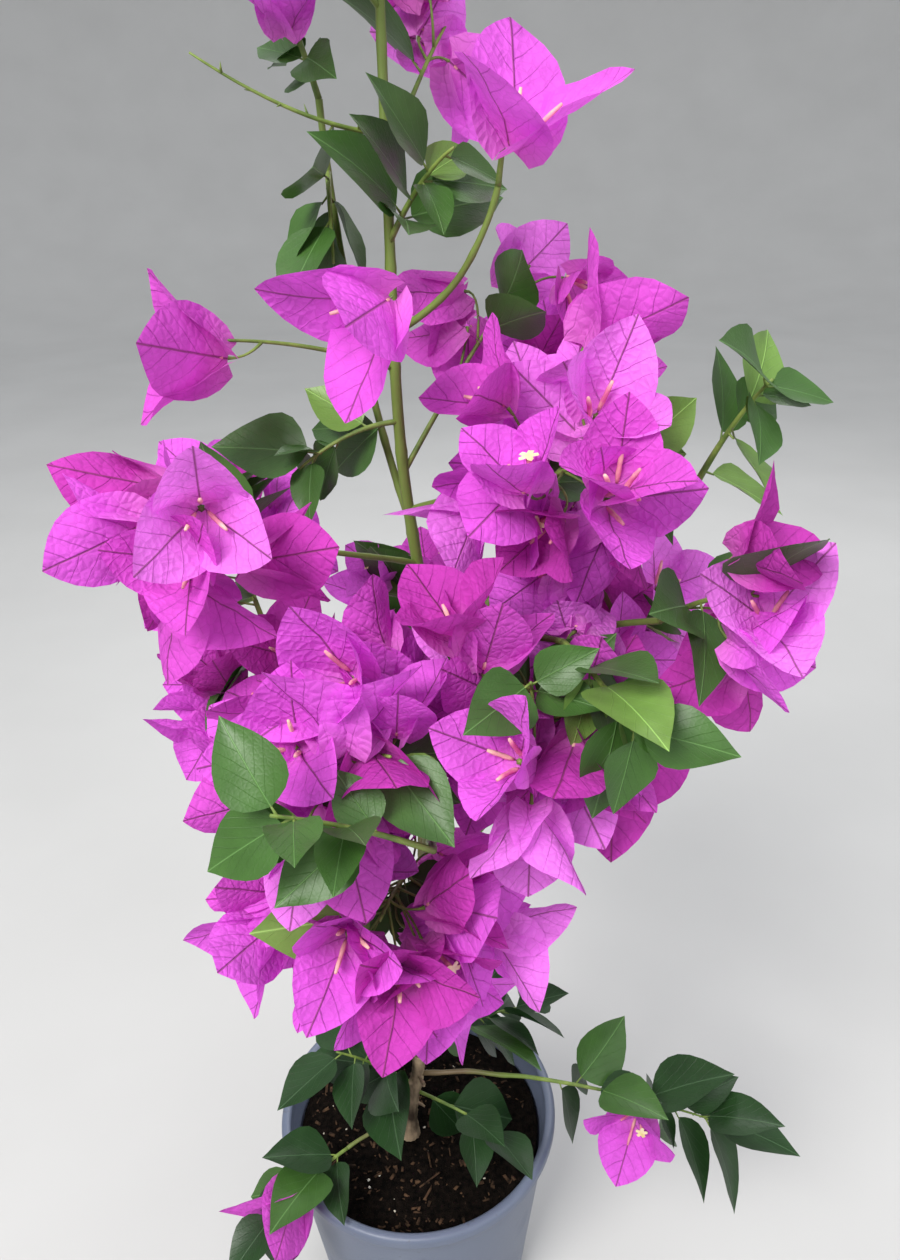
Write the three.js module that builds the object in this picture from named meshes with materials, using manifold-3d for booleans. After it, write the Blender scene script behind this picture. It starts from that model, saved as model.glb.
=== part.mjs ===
// A young bougainvillea in its nursery pot, in millimetres, +Z up.
// The origin is the middle of the pot's flat underside. The plant's fuller, flowering side faces -Y.
//
// A woody trunk forks into a tall green leader and long thin boughs. Every bough carries one mass of
// foliage: a stem, side twigs, leaves, and blooms of three papery bracts that meet at the twig's tip.
// Each mass grows by one seeded rule, and keeps to a space of its own.

import * as THREE from "three";
import { mergeVertices } from "three/addons/utils/BufferGeometryUtils.js";
import Module from "manifold-3d";

const wasm = await Module();
wasm.setup();

// Pot and compost
const POT_HEIGHT = 190;
const RIM_RADIUS = 110;
const FOOT_RADIUS = 83;
const FOOT_BEVEL = 1;
const RIM_WIDTH = 8;
const RIM_DROP = 9;
const RIM_ROUNDING = 2;
const RIM_TO_SHOULDER = 4;
const WALL = 2.4;
const FLOOR_THICKNESS = 3;
const DRAIN_HOLES = 6;
const DRAIN_RADIUS = 5;
const DRAIN_CIRCLE = 58;
const DRAIN_SIDES = 10;
const DRAIN_DRILL_LENGTH = 12;
const ROUND_SIDES = 30;
const SOIL_BELOW_RIM = 24;
const SOIL_CROWN = 5;
const SOIL_CROWN_RADIUS = 24;
const SOIL_TOP = POT_HEIGHT - SOIL_BELOW_RIM;

// Clearances
const GAP = 0.3;
const LIMB_CLEARANCE = 3;
const SPACE_MARGIN = 1;
const POT_CLEARANCE = 3;
const CROWDING = 6.5;
const SMALLEST_EDGE = 0.1;
const MERGE_WITHIN = 1e-4;

// Trunk and limbs
const UPRIGHT_SIDES = 7;
const UPRIGHT_STEPS = 4;
const BOUGH_SIDES = 5;
const BOUGH_STEPS = 5;
const STUB_SIDES = 6;
const STUB_TAPER = 0.8;
const ROOT_FLARE = 0.3;
const ROOT_FLARE_HEIGHT = 9;
const ROOT_FLARE_TOP = 30;
const FOOT_CUT = 0.8;
const HEIGHT_STEPS = 200;

// A mass's own stem, and its twigs
const STEM_FOOT_RADIUS = 1.6;
const STEM_TIP_RADIUS = 0.9;
const STEM_SIDES = 4;
const STEM_STEPS = 5;
const STEM_PAST_MIDDLE = 0.6;
const STEM_ARCH = 0.2;
const SMALL_MASS = 2;
const OUTGROWTH = 1.9;
const NEAR_SPACES = 2;
const TWIG_RADIUS = 1.1;
const TWIG_SIDES = 3;
const TWIG_FIRST = 0.12;
const TWIG_LAST = 0.95;
const TWIG_STEP = 0.05;
const TWIG_LEAN = 0.16;
const TWIG_SAMPLES = [0.25, 0.4, 0.55, 0.7, 0.85, 1];

// Blooms
const BRACTS = 3;
const BRACT_LENGTH = 50;
const BRACT_WIDTH = 0.8;
const BRACT_THICKNESS = 0.8;
const BRACT_FLARE = 0.8;
const BRACT_CUP = 0.16;
const BRACT_ROOT_OUT = 1.3;
const BRACT_ROOT_SUNK = 2.5;
const BLOOM_SIZE = [0.86, 0.26];
const BLOOM_SPACING = 27;
const BLOOM_FORWARD = 0.3;
const BLOOM_OUTWARD = 0.75;
const BLOOM_TILT = 0.7;
const FIRST_BLOOM_SHIFT = 0.3;
const CALYX_RADIUS = 4.4;
const CALYX_LENGTH = 9;

// Leaves
const LEAF_LENGTH = 66;
const LEAF_WIDTH = 0.62;
const LEAF_THICKNESS = 0.9;
const LEAF_CUP = 0.25;
const LEAF_SIZE = [0.7, 0.45];
const LEAF_FIRST = 0.12;
const LEAF_RUN = 0.86;
const LEAF_FORWARD = 0.75;
const LEAF_LIFT = 0.1;
const LEAF_DROOP = 1;
const LEAF_TURN_SPREAD = 1.2;
const LEAF_FACES_UP = 0.9;
const STEEP_LEAF = 0.85;
const GOLDEN_ANGLE = Math.PI * (3 - Math.sqrt(5));

// A blade's outline from root to tip and back, as shares of its length and half its width.
const BRACT_OUTLINE = [[0, 0], [0.3, 0.62], [0.6, 0.94], [1, 0], [0.6, -0.94], [0.3, -0.62]];
const LEAF_OUTLINE = [[0, 0], [0.46, 1], [1, 0], [0.46, -1]];
const BLADE_THICKEST = 0.36;
const BLADE_SAMPLE_ROWS = 6;
const BLADE_SAMPLE_SIDES = [-0.95, -0.5, 0, 0.5, 0.95];
const BLADE_NARROWING = 0.6;
const BLADE_WIDEST = 0.425;

// The rule's repeatable numbers, and how often it tries for each bloom or leaf
const RANDOM_MODULUS = 2147483647;
const RANDOM_MULTIPLIER = 16807;
const SEED_STEP = 7919;
const SEED_START = 104729;
const TRIES_EACH = 700;

// Limbs that stand by themselves: the points each runs through, and its radius at foot and tip.
const UPRIGHTS = {
  trunk: {
    through: [[-7, -14, SOIL_TOP + SOIL_CROWN + GAP], [-5, -13, 205], [1, -12, 236], [4, -12, 262]],
    radii: [6.4, 5],
  },
  leader: {
    through: [
      [4, -12, 262 + GAP],
      [16, -12, 430],
      [24, -16, 610],
      [14, -24, 740],
      [14, -24, 860],
      [16, -20, 1015],
    ],
    radii: [4.9, 2.1],
  },
};

// Boughs: the limb each leaves, at what height, where it ends, how much it arches, and its radii.
const BOUGHS = {
  second_leader: { on: "leader", height: 690, to: [-18, 8, 900], arch: [-14, 14, 0], radii: [2.3, 1.8] },
  bough_left: { on: "leader", height: 668, to: [-52, -82, 706], arch: [0, -10, 8], radii: [1.9, 1.4] },
  bough_top_right: { on: "leader", height: 795, to: [64, -52, 862], arch: [14, -6, -12], radii: [2.1, 1.6] },
  bough_right: { on: "leader", height: 700, to: [66, -54, 716], arch: [0, 0, 8], radii: [2.6, 2] },
  bough_green: { on: "leader", height: 628, to: [160, -62, 724], arch: [24, 34, -6], radii: [2.6, 1.8] },
  bough_centre: { on: "leader", height: 500, to: [78, -104, 606], arch: [0, -6, 14], radii: [2.8, 1.9] },
  bough_right_edge: { on: "leader", height: 590, to: [140, -96, 668], arch: [8, 24, 4], radii: [2.6, 1.8] },
  bough_left_crown: { on: "leader", height: 490, to: [-20, -116, 596], arch: [-4, -8, 14], radii: [2.8, 1.9] },
  bough_front: { on: "leader", height: 430, to: [14, -104, 526], arch: [0, -8, 16], radii: [2.7, 1.9] },
  bough_back_left: { on: "leader", height: 470, to: [-84, 42, 606], arch: [-16, 10, 20], radii: [2.8, 1.9] },
  bough_back: { on: "leader", height: 400, to: [6, 92, 524], arch: [0, 18, 24], radii: [2.8, 1.9] },
  bough_back_right: { on: "leader", height: 560, to: [96, 62, 690], arch: [16, 12, 18], radii: [2.6, 1.9] },
  bough_side_left: { on: "leader", height: 430, to: [-50, 2, 544], arch: [-14, 4, 20], radii: [2.6, 1.9] },
  bough_side_right: { on: "leader", height: 420, to: [110, -2, 560], arch: [22, 2, 24], radii: [2.6, 1.9] },
  bough_leafy: { on: "leader", height: 596, to: [88, -130, 676], arch: [0, -4, 24], radii: [2.2, 1.7] },
  bough_front_leaves: { on: "leader", height: 466, to: [27, -188, 606], arch: [2, -12, 16], radii: [2.2, 1.6] },
  bough_low_right: { on: "trunk", height: 240, to: [92, -24, 246], arch: [0, -4, 12], radii: [2.2, 1.7] },
  bough_low_left: { on: "trunk", height: 200, to: [-52, -50, 208], arch: [0, -4, 10], radii: [2, 1.5] },
};

// Foliage masses: the middle and half-size of each space, the limb it grows from (from its tip, or at
// a height on its side), and how many blooms and leaves it holds. The first bloom may have a facing,
// and its blooms and leaves may be larger or smaller than the common size.
const MASSES = {
  left_bloom: { at: [-68, -106, 722], reach: [42, 38, 42], on: "bough_left", blooms: 5, leaves: 1 },
  high_left_bloom: {
    at: [14, -98, 820], reach: [56, 52, 56],
    on: "leader", height: 800, blooms: 1, larger: 1.24, facing: [-0.6, -0.58, -0.37],
  },
  far_left_bloom: {
    at: [-60, -76, 804], reach: [28, 34, 36],
    on: "leader", height: 776, blooms: 1, facing: [-0.9, -0.3, 0.25],
  },
  top_right_bloom: {
    at: [68, -64, 886], reach: [40, 36, 44],
    on: "bough_top_right", blooms: 1, larger: 1.3, facing: [0.3, -0.3, 0.9],
  },
  top_middle_bloom: {
    at: [38, 26, 920], reach: [40, 36, 36],
    on: "leader", height: 870, blooms: 2, leaves: 1,
  },
  top_left_spray: {
    at: [-28, 2, 930], reach: [30, 32, 34],
    on: "second_leader", blooms: 1, leaves: 3, larger: 0.72, facing: [0.1, -0.25, 0.95],
  },
  second_leader_leaves: {
    at: [-14, -18, 848], reach: [28, 32, 46],
    on: "second_leader", height: 868, leaves: 5,
  },
  tip_spray: { at: [14, -22, 1050], reach: [48, 46, 42], on: "leader", blooms: 3, leaves: 3 },
  upper_right_spray: {
    at: [68, -38, 980], reach: [44, 42, 42],
    on: "leader", height: 950, blooms: 2, leaves: 2,
  },
  upper_left_spray: {
    at: [-40, -50, 988], reach: [44, 42, 42],
    on: "leader", height: 930, blooms: 2, leaves: 2,
  },
  high_leaves: { at: [32, -38, 858], reach: [36, 38, 50], on: "leader", height: 836, leaves: 5, larger: 0.92 },
  middle_leaves: {
    at: [-18, -34, 742], reach: [36, 40, 50],
    on: "leader", height: 752, leaves: 5, larger: 0.76,
  },
  right_high_bloom: {
    at: [70, -4, 806], reach: [40, 38, 36],
    on: "leader", height: 722, blooms: 4, leaves: 2,
  },
  crown_right: { at: [106, -82, 740], reach: [66, 58, 62], on: "bough_right", blooms: 11, leaves: 4 },
  green_shoot: { at: [174, -78, 758], reach: [44, 44, 48], on: "bough_green", leaves: 8, larger: 0.74 },
  crown_middle: { at: [74, -138, 646], reach: [64, 52, 56], on: "bough_centre", blooms: 12, leaves: 5 },
  crown_right_edge: {
    at: [160, -118, 684], reach: [38, 40, 48],
    on: "bough_right_edge", blooms: 3, leaves: 3,
  },
  crown_left: {
    at: [0, -154, 632], reach: [48, 62, 46],
    on: "bough_left_crown", blooms: 10, leaves: 6,
  },
  crown_front: { at: [6, -150, 548], reach: [62, 54, 38], on: "bough_front", blooms: 10, leaves: 2 },
  back_left: { at: [-102, 60, 650], reach: [52, 48, 54], on: "bough_back_left", blooms: 4, leaves: 6 },
  back: { at: [6, 118, 568], reach: [54, 50, 56], on: "bough_back", blooms: 3, leaves: 5 },
  back_right: { at: [116, 84, 728], reach: [52, 48, 52], on: "bough_back_right", blooms: 4, leaves: 6 },
  side_left: { at: [-72, -2, 580], reach: [44, 40, 46], on: "bough_side_left", blooms: 3, leaves: 4 },
  side_right: { at: [136, 0, 602], reach: [50, 48, 50], on: "bough_side_right", blooms: 3, leaves: 4 },
  low_bloom: {
    at: [20, -66, 394], reach: [40, 40, 40],
    on: "leader", height: 346, blooms: 1, leaves: 1,
  },
  low_left_leaves: { at: [-38, -26, 270], reach: [46, 44, 48], on: "trunk", height: 226, leaves: 9 },
  low_front_leaves: { at: [58, -48, 216], reach: [40, 30, 36], on: "trunk", height: 222, leaves: 5 },
  low_right_leaves: { at: [58, 2, 282], reach: [44, 44, 44], on: "leader", height: 272, leaves: 7 },
  low_right_shoot: {
    at: [172, -36, 222], reach: [90, 44, 44],
    on: "bough_low_right", blooms: 1, leaves: 12,
  },
  low_left_shoot: {
    at: [-82, -78, 204], reach: [46, 44, 42],
    on: "bough_low_left", blooms: 1, leaves: 6, facing: [-0.5, -0.7, -0.3],
  },
  crown_leaves: { at: [106, -166, 662], reach: [34, 26, 36], on: "bough_leafy", leaves: 8, larger: 0.84 },
  front_leaves: { at: [-16, -226, 652], reach: [42, 20, 26], on: "bough_front_leaves", leaves: 7, larger: 0.7 },
};

// The trunk's dead stubs: height on the trunk, bearing in degrees, slope, length and radius.
const STUBS = [
  { height: 216, bearing: 150, slope: 0.8, length: 30, radius: 2.6 },
  { height: 232, bearing: -150, slope: 0.25, length: 26, radius: 1.9 },
  { height: 240, bearing: -70, slope: 0.3, length: 17, radius: 2.2 },
  { height: 212, bearing: -30, slope: -0.2, length: 12, radius: 1.5 },
];

const COLOURS = {
  pot: { color: 0x767c8c, roughness: 0.5, metalness: 0 },
  soil: { color: 0x1d1612, roughness: 1, metalness: 0 },
  bark: { color: 0x8c7a66, roughness: 0.9, metalness: 0 },
  stem: { color: 0x6f8f3a, roughness: 0.6, metalness: 0 },
  bract: { color: 0xb83ab0, roughness: 0.7, metalness: 0 },
  leaf: { color: 0x3f6b30, roughness: 0.5, metalness: 0 },
};

const vector = (p) => new THREE.Vector3(...p);
const UP = new THREE.Vector3(0, 0, 1);
const EAST = new THREE.Vector3(1, 0, 0);

// A direction square to another.
function perpendicular(direction) {
  return new THREE.Vector3().crossVectors(direction, Math.abs(direction.z) < 0.9 ? UP : EAST).normalize();
}

// A repeatable source of numbers from 0 to 1, so that the plant grows the same way every time.
function randomFrom(seed) {
  let state = (seed * SEED_STEP + SEED_START) % RANDOM_MODULUS;
  return () => {
    state = (state * RANDOM_MULTIPLIER) % RANDOM_MODULUS;
    return state / RANDOM_MODULUS;
  };
}

// A closed geometry as a manifold-3d solid.
function solidOf(geometry) {
  const bare = geometry.clone();
  bare.deleteAttribute("normal");
  bare.deleteAttribute("uv");
  const merged = mergeVertices(bare, MERGE_WITHIN);
  return new wasm.Manifold(
    new wasm.Mesh({
      numProp: 3,
      vertProperties: new Float32Array(merged.attributes.position.array),
      triVerts: new Uint32Array(merged.index.array),
    }),
  );
}

function geometryOf(solid) {
  const mesh = solid.getMesh();
  const geometry = new THREE.BufferGeometry();
  geometry.setAttribute("position", new THREE.BufferAttribute(mesh.vertProperties, 3));
  geometry.setIndex(new THREE.BufferAttribute(mesh.triVerts, 1));
  geometry.computeVertexNormals();
  return geometry;
}

// The largest closed body of a fused solid: loose scraps go, and a hollow that fusing seals is filled.
function largestBody(solid) {
  const bodies = solid.simplify(SMALLEST_EDGE).decompose();
  return bodies.reduce((best, body) => (body.volume() > best.volume() ? body : best));
}

// A limb's middle line: points along its curve, with a radius at each that tapers from foot to tip.
function taperedLine(curve, [foot, tip], steps) {
  return curve.getPoints(steps).map((at, i) => ({ at, radius: foot + ((tip - foot) * i) / steps }));
}

// A closed limb round a middle line: a cylinder whose rings are moved to the line's points.
// Each ring is wider than the line says by "more", and the last goes on past it by "over".
function limbGeometry(line, sides, more = 0, over = 0) {
  const last = line.length - 1;
  const geometry = new THREE.CylinderGeometry(1, 1, last, sides, last, false);
  const heading = (i) => line[Math.min(i + 1, last)].at.clone().sub(line[Math.max(i - 1, 0)].at).normalize();
  const rings = [];
  const normal = perpendicular(heading(0));
  for (let i = 0; i <= last; i++) {
    const along = heading(i);
    normal.addScaledVector(along, -normal.dot(along)).normalize();
    const middle = line[i].at.clone().addScaledVector(along, i === last ? over : 0);
    const side = normal.clone().cross(along);
    rings.push({ middle, side, normal: normal.clone(), radius: line[i].radius + more });
  }
  const position = geometry.attributes.position;
  for (let i = 0; i < position.count; i++) {
    const { middle, normal: outward, side, radius } = rings[Math.round(position.getY(i) + last / 2)];
    const moved = middle.clone().addScaledVector(outward, radius * position.getX(i));
    moved.addScaledVector(side, radius * position.getZ(i));
    position.setXYZ(i, moved.x, moved.y, moved.z);
  }
  return geometry;
}

// The place along a limb's curve, from 0 to 1, at which it reaches a height.
function placeAtHeight(curve, height) {
  for (let i = 0; i < HEIGHT_STEPS; i++) {
    if (curve.getPoint(i / HEIGHT_STEPS).z >= height) return i / HEIGHT_STEPS;
  }
  return 1;
}

// How far a point lies outside a limb's surface.
function distanceToLimb(point, line) {
  let least = Infinity;
  const segment = new THREE.Line3();
  const nearest = new THREE.Vector3();
  for (let i = 1; i < line.length; i++) {
    segment.set(line[i - 1].at, line[i].at).closestPointToPoint(point, true, nearest);
    least = Math.min(least, nearest.distanceTo(point) - line[i - 1].radius);
  }
  return least;
}

const limbs = {};
for (const [name, { through, radii }] of Object.entries(UPRIGHTS)) {
  const curve = new THREE.CatmullRomCurve3(through.map(vector));
  const line = taperedLine(curve, radii, UPRIGHT_STEPS * (through.length - 1));
  limbs[name] = { curve, line, sides: UPRIGHT_SIDES };
}
for (const [name, { on, height, to, arch, radii }] of Object.entries(BOUGHS)) {
  const parent = limbs[on];
  const start = parent.curve.getPoint(placeAtHeight(parent.curve, height));
  const end = vector(to);
  const bend = start.clone().lerp(end, 0.5).add(vector(arch));
  const curve = new THREE.QuadraticBezierCurve3(start, bend, end);
  limbs[name] = { curve, line: taperedLine(curve, radii, BOUGH_STEPS), sides: BOUGH_SIDES, parent: on };
}
for (const { height, bearing, slope, length, radius } of STUBS) {
  const trunk = limbs.trunk.curve;
  const start = trunk.getPoint(placeAtHeight(trunk, height));
  const turn = THREE.MathUtils.degToRad(bearing);
  const heading = new THREE.Vector3(Math.cos(turn), Math.sin(turn), slope).normalize();
  const curve = new THREE.LineCurve3(start, start.clone().addScaledVector(heading, length));
  const line = taperedLine(curve, [radius, radius * STUB_TAPER], 1);
  limbs[`stub_${height}`] = { curve, line, sides: STUB_SIDES, isStub: true };
}
const stubs = Object.keys(limbs).filter((name) => limbs[name].isStub);

// A mass's own stem runs from its limb through the middle of its space, and on towards the far side.
const masses = {};
for (const [name, plan] of Object.entries(MASSES)) {
  const { at, reach, on, height, blooms = 0, leaves = 0, larger = 1, facing } = plan;
  const limb = limbs[on];
  const fromTip = height === undefined;
  const place = fromTip ? 1 : placeAtHeight(limb.curve, height);
  const start = limb.curve.getPoint(place);
  const middle = vector(at);
  const heading = middle.clone().sub(start).normalize();
  const past = blooms + leaves > SMALL_MASS ? STEM_PAST_MIDDLE : 0;
  const far = middle.clone().add(heading.clone().multiply(vector(reach)).multiplyScalar(past));
  const bend = start.clone().lerp(far, 0.5).addScaledVector(UP, STEM_ARCH * reach[2]);
  const curve = new THREE.QuadraticBezierCurve3(start, bend, far);
  const footRadius = fromTip ? limb.line.at(-1).radius : STEM_FOOT_RADIUS;
  const line = taperedLine(curve, [footRadius, STEM_TIP_RADIUS], STEM_STEPS);
  masses[name] = { middle, reach: vector(reach), heading, curve, line, on, blooms, leaves, larger, facing };
}

// A mass's half-size along a direction.
function reachAlong(mass, direction) {
  return 1 / direction.clone().divide(mass.reach).length();
}

// Each pair of masses shares one plane, and each keeps to its own side of it.
for (const mass of Object.values(masses)) {
  mass.planes = [];
  for (const other of Object.values(masses)) {
    if (other === mass) continue;
    const normal = other.middle.clone().sub(mass.middle);
    const apart = normal.length();
    normal.normalize();
    const mine = reachAlong(mass, normal);
    const theirs = reachAlong(other, normal);
    if (apart > NEAR_SPACES * (mine + theirs)) continue;
    mass.planes.push({ normal, limit: (apart * mine) / (mine + theirs) - SPACE_MARGIN });
  }
}

// The pot's outer radius at a height.
function potRadius(z) {
  return FOOT_RADIUS + ((RIM_RADIUS - RIM_WIDTH / 2 - FOOT_RADIUS) * z) / POT_HEIGHT;
}

// True if a point is off the pot and the compost, either outside the rim or above the compost.
function clearOfPot(point) {
  if (point.z < POT_CLEARANCE) return false;
  if (point.z > POT_HEIGHT + POT_CLEARANCE) return true;
  const out = Math.hypot(point.x, point.y);
  const outside = out > RIM_RADIUS + POT_CLEARANCE;
  const inside = out < potRadius(point.z) - RIM_WIDTH - POT_CLEARANCE;
  return outside || (inside && point.z > SOIL_TOP + SOIL_CROWN + POT_CLEARANCE);
}

// The middle lines that a mass keeps off: every limb's, and the other masses' stems.
function foreignLines(mass) {
  const others = Object.values(masses).filter((other) => other !== mass);
  return [...Object.values(limbs), ...others].map(({ line }) => line);
}

// True if every point keeps to the mass's space, off the limbs and other stems, and off the pot.
function fits(mass, points) {
  return points.every((point) => {
    const offset = point.clone().sub(mass.middle);
    if (offset.clone().divide(mass.reach).length() > OUTGROWTH) return false;
    if (mass.planes.some(({ normal, limit }) => offset.dot(normal) > limit)) return false;
    if (!clearOfPot(point)) return false;
    return mass.foreign.every((line) => distanceToLimb(point, line) > LIMB_CLEARANCE);
  });
}

// True if every point stands off the blades and twigs that the mass already holds.
function uncrowded(mass, points) {
  const apart = (a, b) => a.distanceToSquared(b) > CROWDING ** 2;
  return points.every((point) => mass.filled.every((other) => apart(point, other)));
}

// A blade's own axes: along its midrib, across it, and out of its upper face.
function bladeFrame(heading, facing) {
  const along = heading.clone().normalize();
  const across = new THREE.Vector3().crossVectors(facing, along).normalize();
  const out = new THREE.Vector3().crossVectors(along, across);
  return { along, across, out };
}

// A point of a blade: shares of its length and half its width, and a height off its plane.
function bladePoint(blade, share, side, lift) {
  const { root, frame, length, width, cup } = blade;
  const half = (side * length * width) / 2;
  return root
    .clone()
    .addScaledVector(frame.along, share * length)
    .addScaledVector(frame.across, half)
    .addScaledVector(frame.out, lift + cup * Math.abs(half));
}

// Points spread over a blade, close enough together that no limb slips between them.
function bladeSamples(blade) {
  const points = [];
  for (let i = 1; i <= BLADE_SAMPLE_ROWS; i++) {
    const share = i / BLADE_SAMPLE_ROWS;
    const half = 1 - BLADE_NARROWING * (2 * (share - BLADE_WIDEST)) ** 2;
    for (const side of BLADE_SAMPLE_SIDES) points.push(bladePoint(blade, share, side * half, 0));
  }
  return points;
}

// A thin closed blade: a flattened sphere of two fans, whose rim is moved to the outline.
function bladeGeometry(blade, outline, thickness) {
  const geometry = new THREE.SphereGeometry(1, outline.length, 2);
  const position = geometry.attributes.position;
  for (let i = 0; i < position.count; i++) {
    const pole = position.getY(i);
    const isPole = Math.abs(pole) > 0.5;
    let moved;
    if (isPole) {
      moved = bladePoint(blade, BLADE_THICKEST, 0, (pole * thickness) / 2);
    } else {
      const turn = Math.atan2(-position.getZ(i), -position.getX(i)) / (2 * Math.PI);
      const corner = Math.round(turn * outline.length + outline.length) % outline.length;
      moved = bladePoint(blade, outline[corner][0], outline[corner][1], 0);
    }
    position.setXYZ(i, moved.x, moved.y, moved.z);
  }
  return geometry;
}

// A direction drawn evenly from the whole sphere.
function randomDirection(random) {
  const z = 2 * random() - 1;
  const turn = 2 * Math.PI * random();
  const flat = Math.sqrt(1 - z * z);
  return new THREE.Vector3(flat * Math.cos(turn), flat * Math.sin(turn), z);
}

// The place along a mass's stem where the twig to a point starts. It lies back from the nearest place.
function twigRoot(mass, target) {
  let best = TWIG_FIRST;
  let least = Infinity;
  const steps = Math.round((TWIG_LAST - TWIG_FIRST) / TWIG_STEP);
  for (let i = 0; i <= steps; i++) {
    const along = TWIG_FIRST + (i * (TWIG_LAST - TWIG_FIRST)) / steps;
    const away = mass.curve.getPoint(along).distanceTo(target);
    if (away < least) [least, best] = [away, along];
  }
  return Math.max(TWIG_FIRST, best - TWIG_LEAN);
}

// One bloom: a twig from the stem, with three bracts that meet at its tip and flare round its axis.
function tryBloom(mass, random) {
  const outward = randomDirection(random).addScaledVector(mass.heading, BLOOM_FORWARD).normalize();
  const isFirst = mass.hearts.length === 0;
  const inner = isFirst && mass.blooms <= SMALL_MASS;
  const depth = inner ? FIRST_BLOOM_SHIFT * random() : Math.cbrt(random());
  const tilt = randomDirection(random);
  const turn = 2 * Math.PI * random();
  const size = (BLOOM_SIZE[0] + BLOOM_SIZE[1] * random()) * mass.larger;
  const heart = mass.middle.clone().add(outward.clone().multiply(mass.reach).multiplyScalar(depth));
  const free = outward.clone().multiplyScalar(BLOOM_OUTWARD).addScaledVector(tilt, BLOOM_TILT);
  const axis = (isFirst && mass.facing ? vector(mass.facing) : free).normalize();
  const root = mass.curve.getPoint(twigRoot(mass, heart));
  if (mass.hearts.some((other) => other.distanceTo(heart) < BLOOM_SPACING)) return false;
  const side = perpendicular(axis);
  const blades = Array.from({ length: BRACTS }, (_, k) => {
    const round = side.clone().applyAxisAngle(axis, turn + (k * 2 * Math.PI) / BRACTS);
    const heading = round.clone().multiplyScalar(BRACT_FLARE).add(axis);
    const frame = bladeFrame(heading, axis.clone().addScaledVector(round, -BRACT_FLARE));
    const sunk = heart.clone().addScaledVector(round, BRACT_ROOT_OUT);
    sunk.addScaledVector(axis, -BRACT_ROOT_SUNK);
    return { root: sunk, frame, length: BRACT_LENGTH * size, width: BRACT_WIDTH, cup: BRACT_CUP };
  });
  const twigPoints = TWIG_SAMPLES.map((along) => root.clone().lerp(heart, along));
  const points = [...twigPoints, ...blades.flatMap(bladeSamples)];
  if (!uncrowded(mass, points) || !fits(mass, points)) return false;
  mass.filled.push(...points);
  mass.hearts.push(heart);
  const twig = [
    { at: root, radius: TWIG_RADIUS },
    { at: heart.clone().addScaledVector(axis, -CALYX_LENGTH), radius: TWIG_RADIUS },
    { at: heart, radius: CALYX_RADIUS },
  ];
  mass.pieces.push(limbGeometry(twig, TWIG_SIDES));
  for (const blade of blades) mass.pieces.push(bladeGeometry(blade, BRACT_OUTLINE, BRACT_THICKNESS));
  return true;
}

// One leaf on the mass's stem, turned round it by the golden angle from the leaf before. Its upper
// face is turned to the light, up and away from the plant's middle.
function tryLeaf(mass, random, number) {
  const along = LEAF_FIRST + LEAF_RUN * random();
  const turn = number * GOLDEN_ANGLE + LEAF_TURN_SPREAD * random();
  const size = (LEAF_SIZE[0] + LEAF_SIZE[1] * random()) * mass.larger;
  const rise = LEAF_LIFT - LEAF_DROOP * random();
  const root = mass.curve.getPoint(along);
  const tangent = mass.curve.getTangent(along);
  const side = perpendicular(tangent).applyAxisAngle(tangent, turn);
  const heading = side.addScaledVector(tangent, LEAF_FORWARD).addScaledVector(UP, rise).normalize();
  const facing = root.clone().setZ(0).normalize().addScaledVector(UP, LEAF_FACES_UP).normalize();
  const frame = bladeFrame(heading, Math.abs(heading.dot(facing)) < STEEP_LEAF ? facing : UP);
  const sunk = root.clone().addScaledVector(frame.along, -STEM_TIP_RADIUS);
  const blade = { root: sunk, frame, length: LEAF_LENGTH * size, width: LEAF_WIDTH, cup: LEAF_CUP };
  const points = bladeSamples(blade);
  if (!uncrowded(mass, points) || !fits(mass, points)) return false;
  mass.filled.push(...points);
  mass.pieces.push(bladeGeometry(blade, LEAF_OUTLINE, LEAF_THICKNESS));
  return true;
}

// Grows one mass: its stem, then its blooms, then its leaves. What has no room is left out.
function growMass(mass, number) {
  const random = randomFrom(number + 1);
  mass.foreign = foreignLines(mass);
  mass.hearts = [];
  mass.filled = [];
  mass.pieces = [limbGeometry(mass.line, STEM_SIDES)];
  for (let made = 0, tries = 0; made < mass.blooms && tries < mass.blooms * TRIES_EACH; tries++) {
    if (tryBloom(mass, random)) made++;
  }
  for (let made = 0, tries = 0; made < mass.leaves && tries < mass.leaves * TRIES_EACH; tries++) {
    if (tryLeaf(mass, random, tries)) made++;
  }
  return mass.pieces.map(solidOf).reduce((fused, piece) => fused.add(piece));
}

// A limb with GAP added all round, which is cut from what starts on it. The trunk takes its stubs along.
function swollen(name) {
  const { line, sides } = limbs[name];
  const solid = solidOf(limbGeometry(line, sides, GAP / Math.cos(Math.PI / sides), GAP));
  return name === "trunk" ? stubs.map(swollen).reduce((fused, stub) => fused.add(stub), solid) : solid;
}

// The trunk, with a flared foot and its dead stubs.
function trunkSolid() {
  const { line, sides } = limbs.trunk;
  const geometry = limbGeometry(line, sides);
  const position = geometry.attributes.position;
  const foot = line[0].at;
  for (let i = 0; i < position.count; i++) {
    const up = position.getZ(i) - foot.z;
    const flare = 1 + ROOT_FLARE * Math.exp(-up / ROOT_FLARE_HEIGHT);
    if (up < ROOT_FLARE_TOP) {
      position.setX(i, foot.x + (position.getX(i) - foot.x) * flare);
      position.setY(i, foot.y + (position.getY(i) - foot.y) * flare);
    }
    if (up < FOOT_CUT) position.setZ(i, foot.z);
  }
  const solidStubs = stubs.map((name) => solidOf(limbGeometry(limbs[name].line, limbs[name].sides)));
  return solidStubs.reduce((fused, stub) => fused.add(stub), solidOf(geometry));
}

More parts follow.
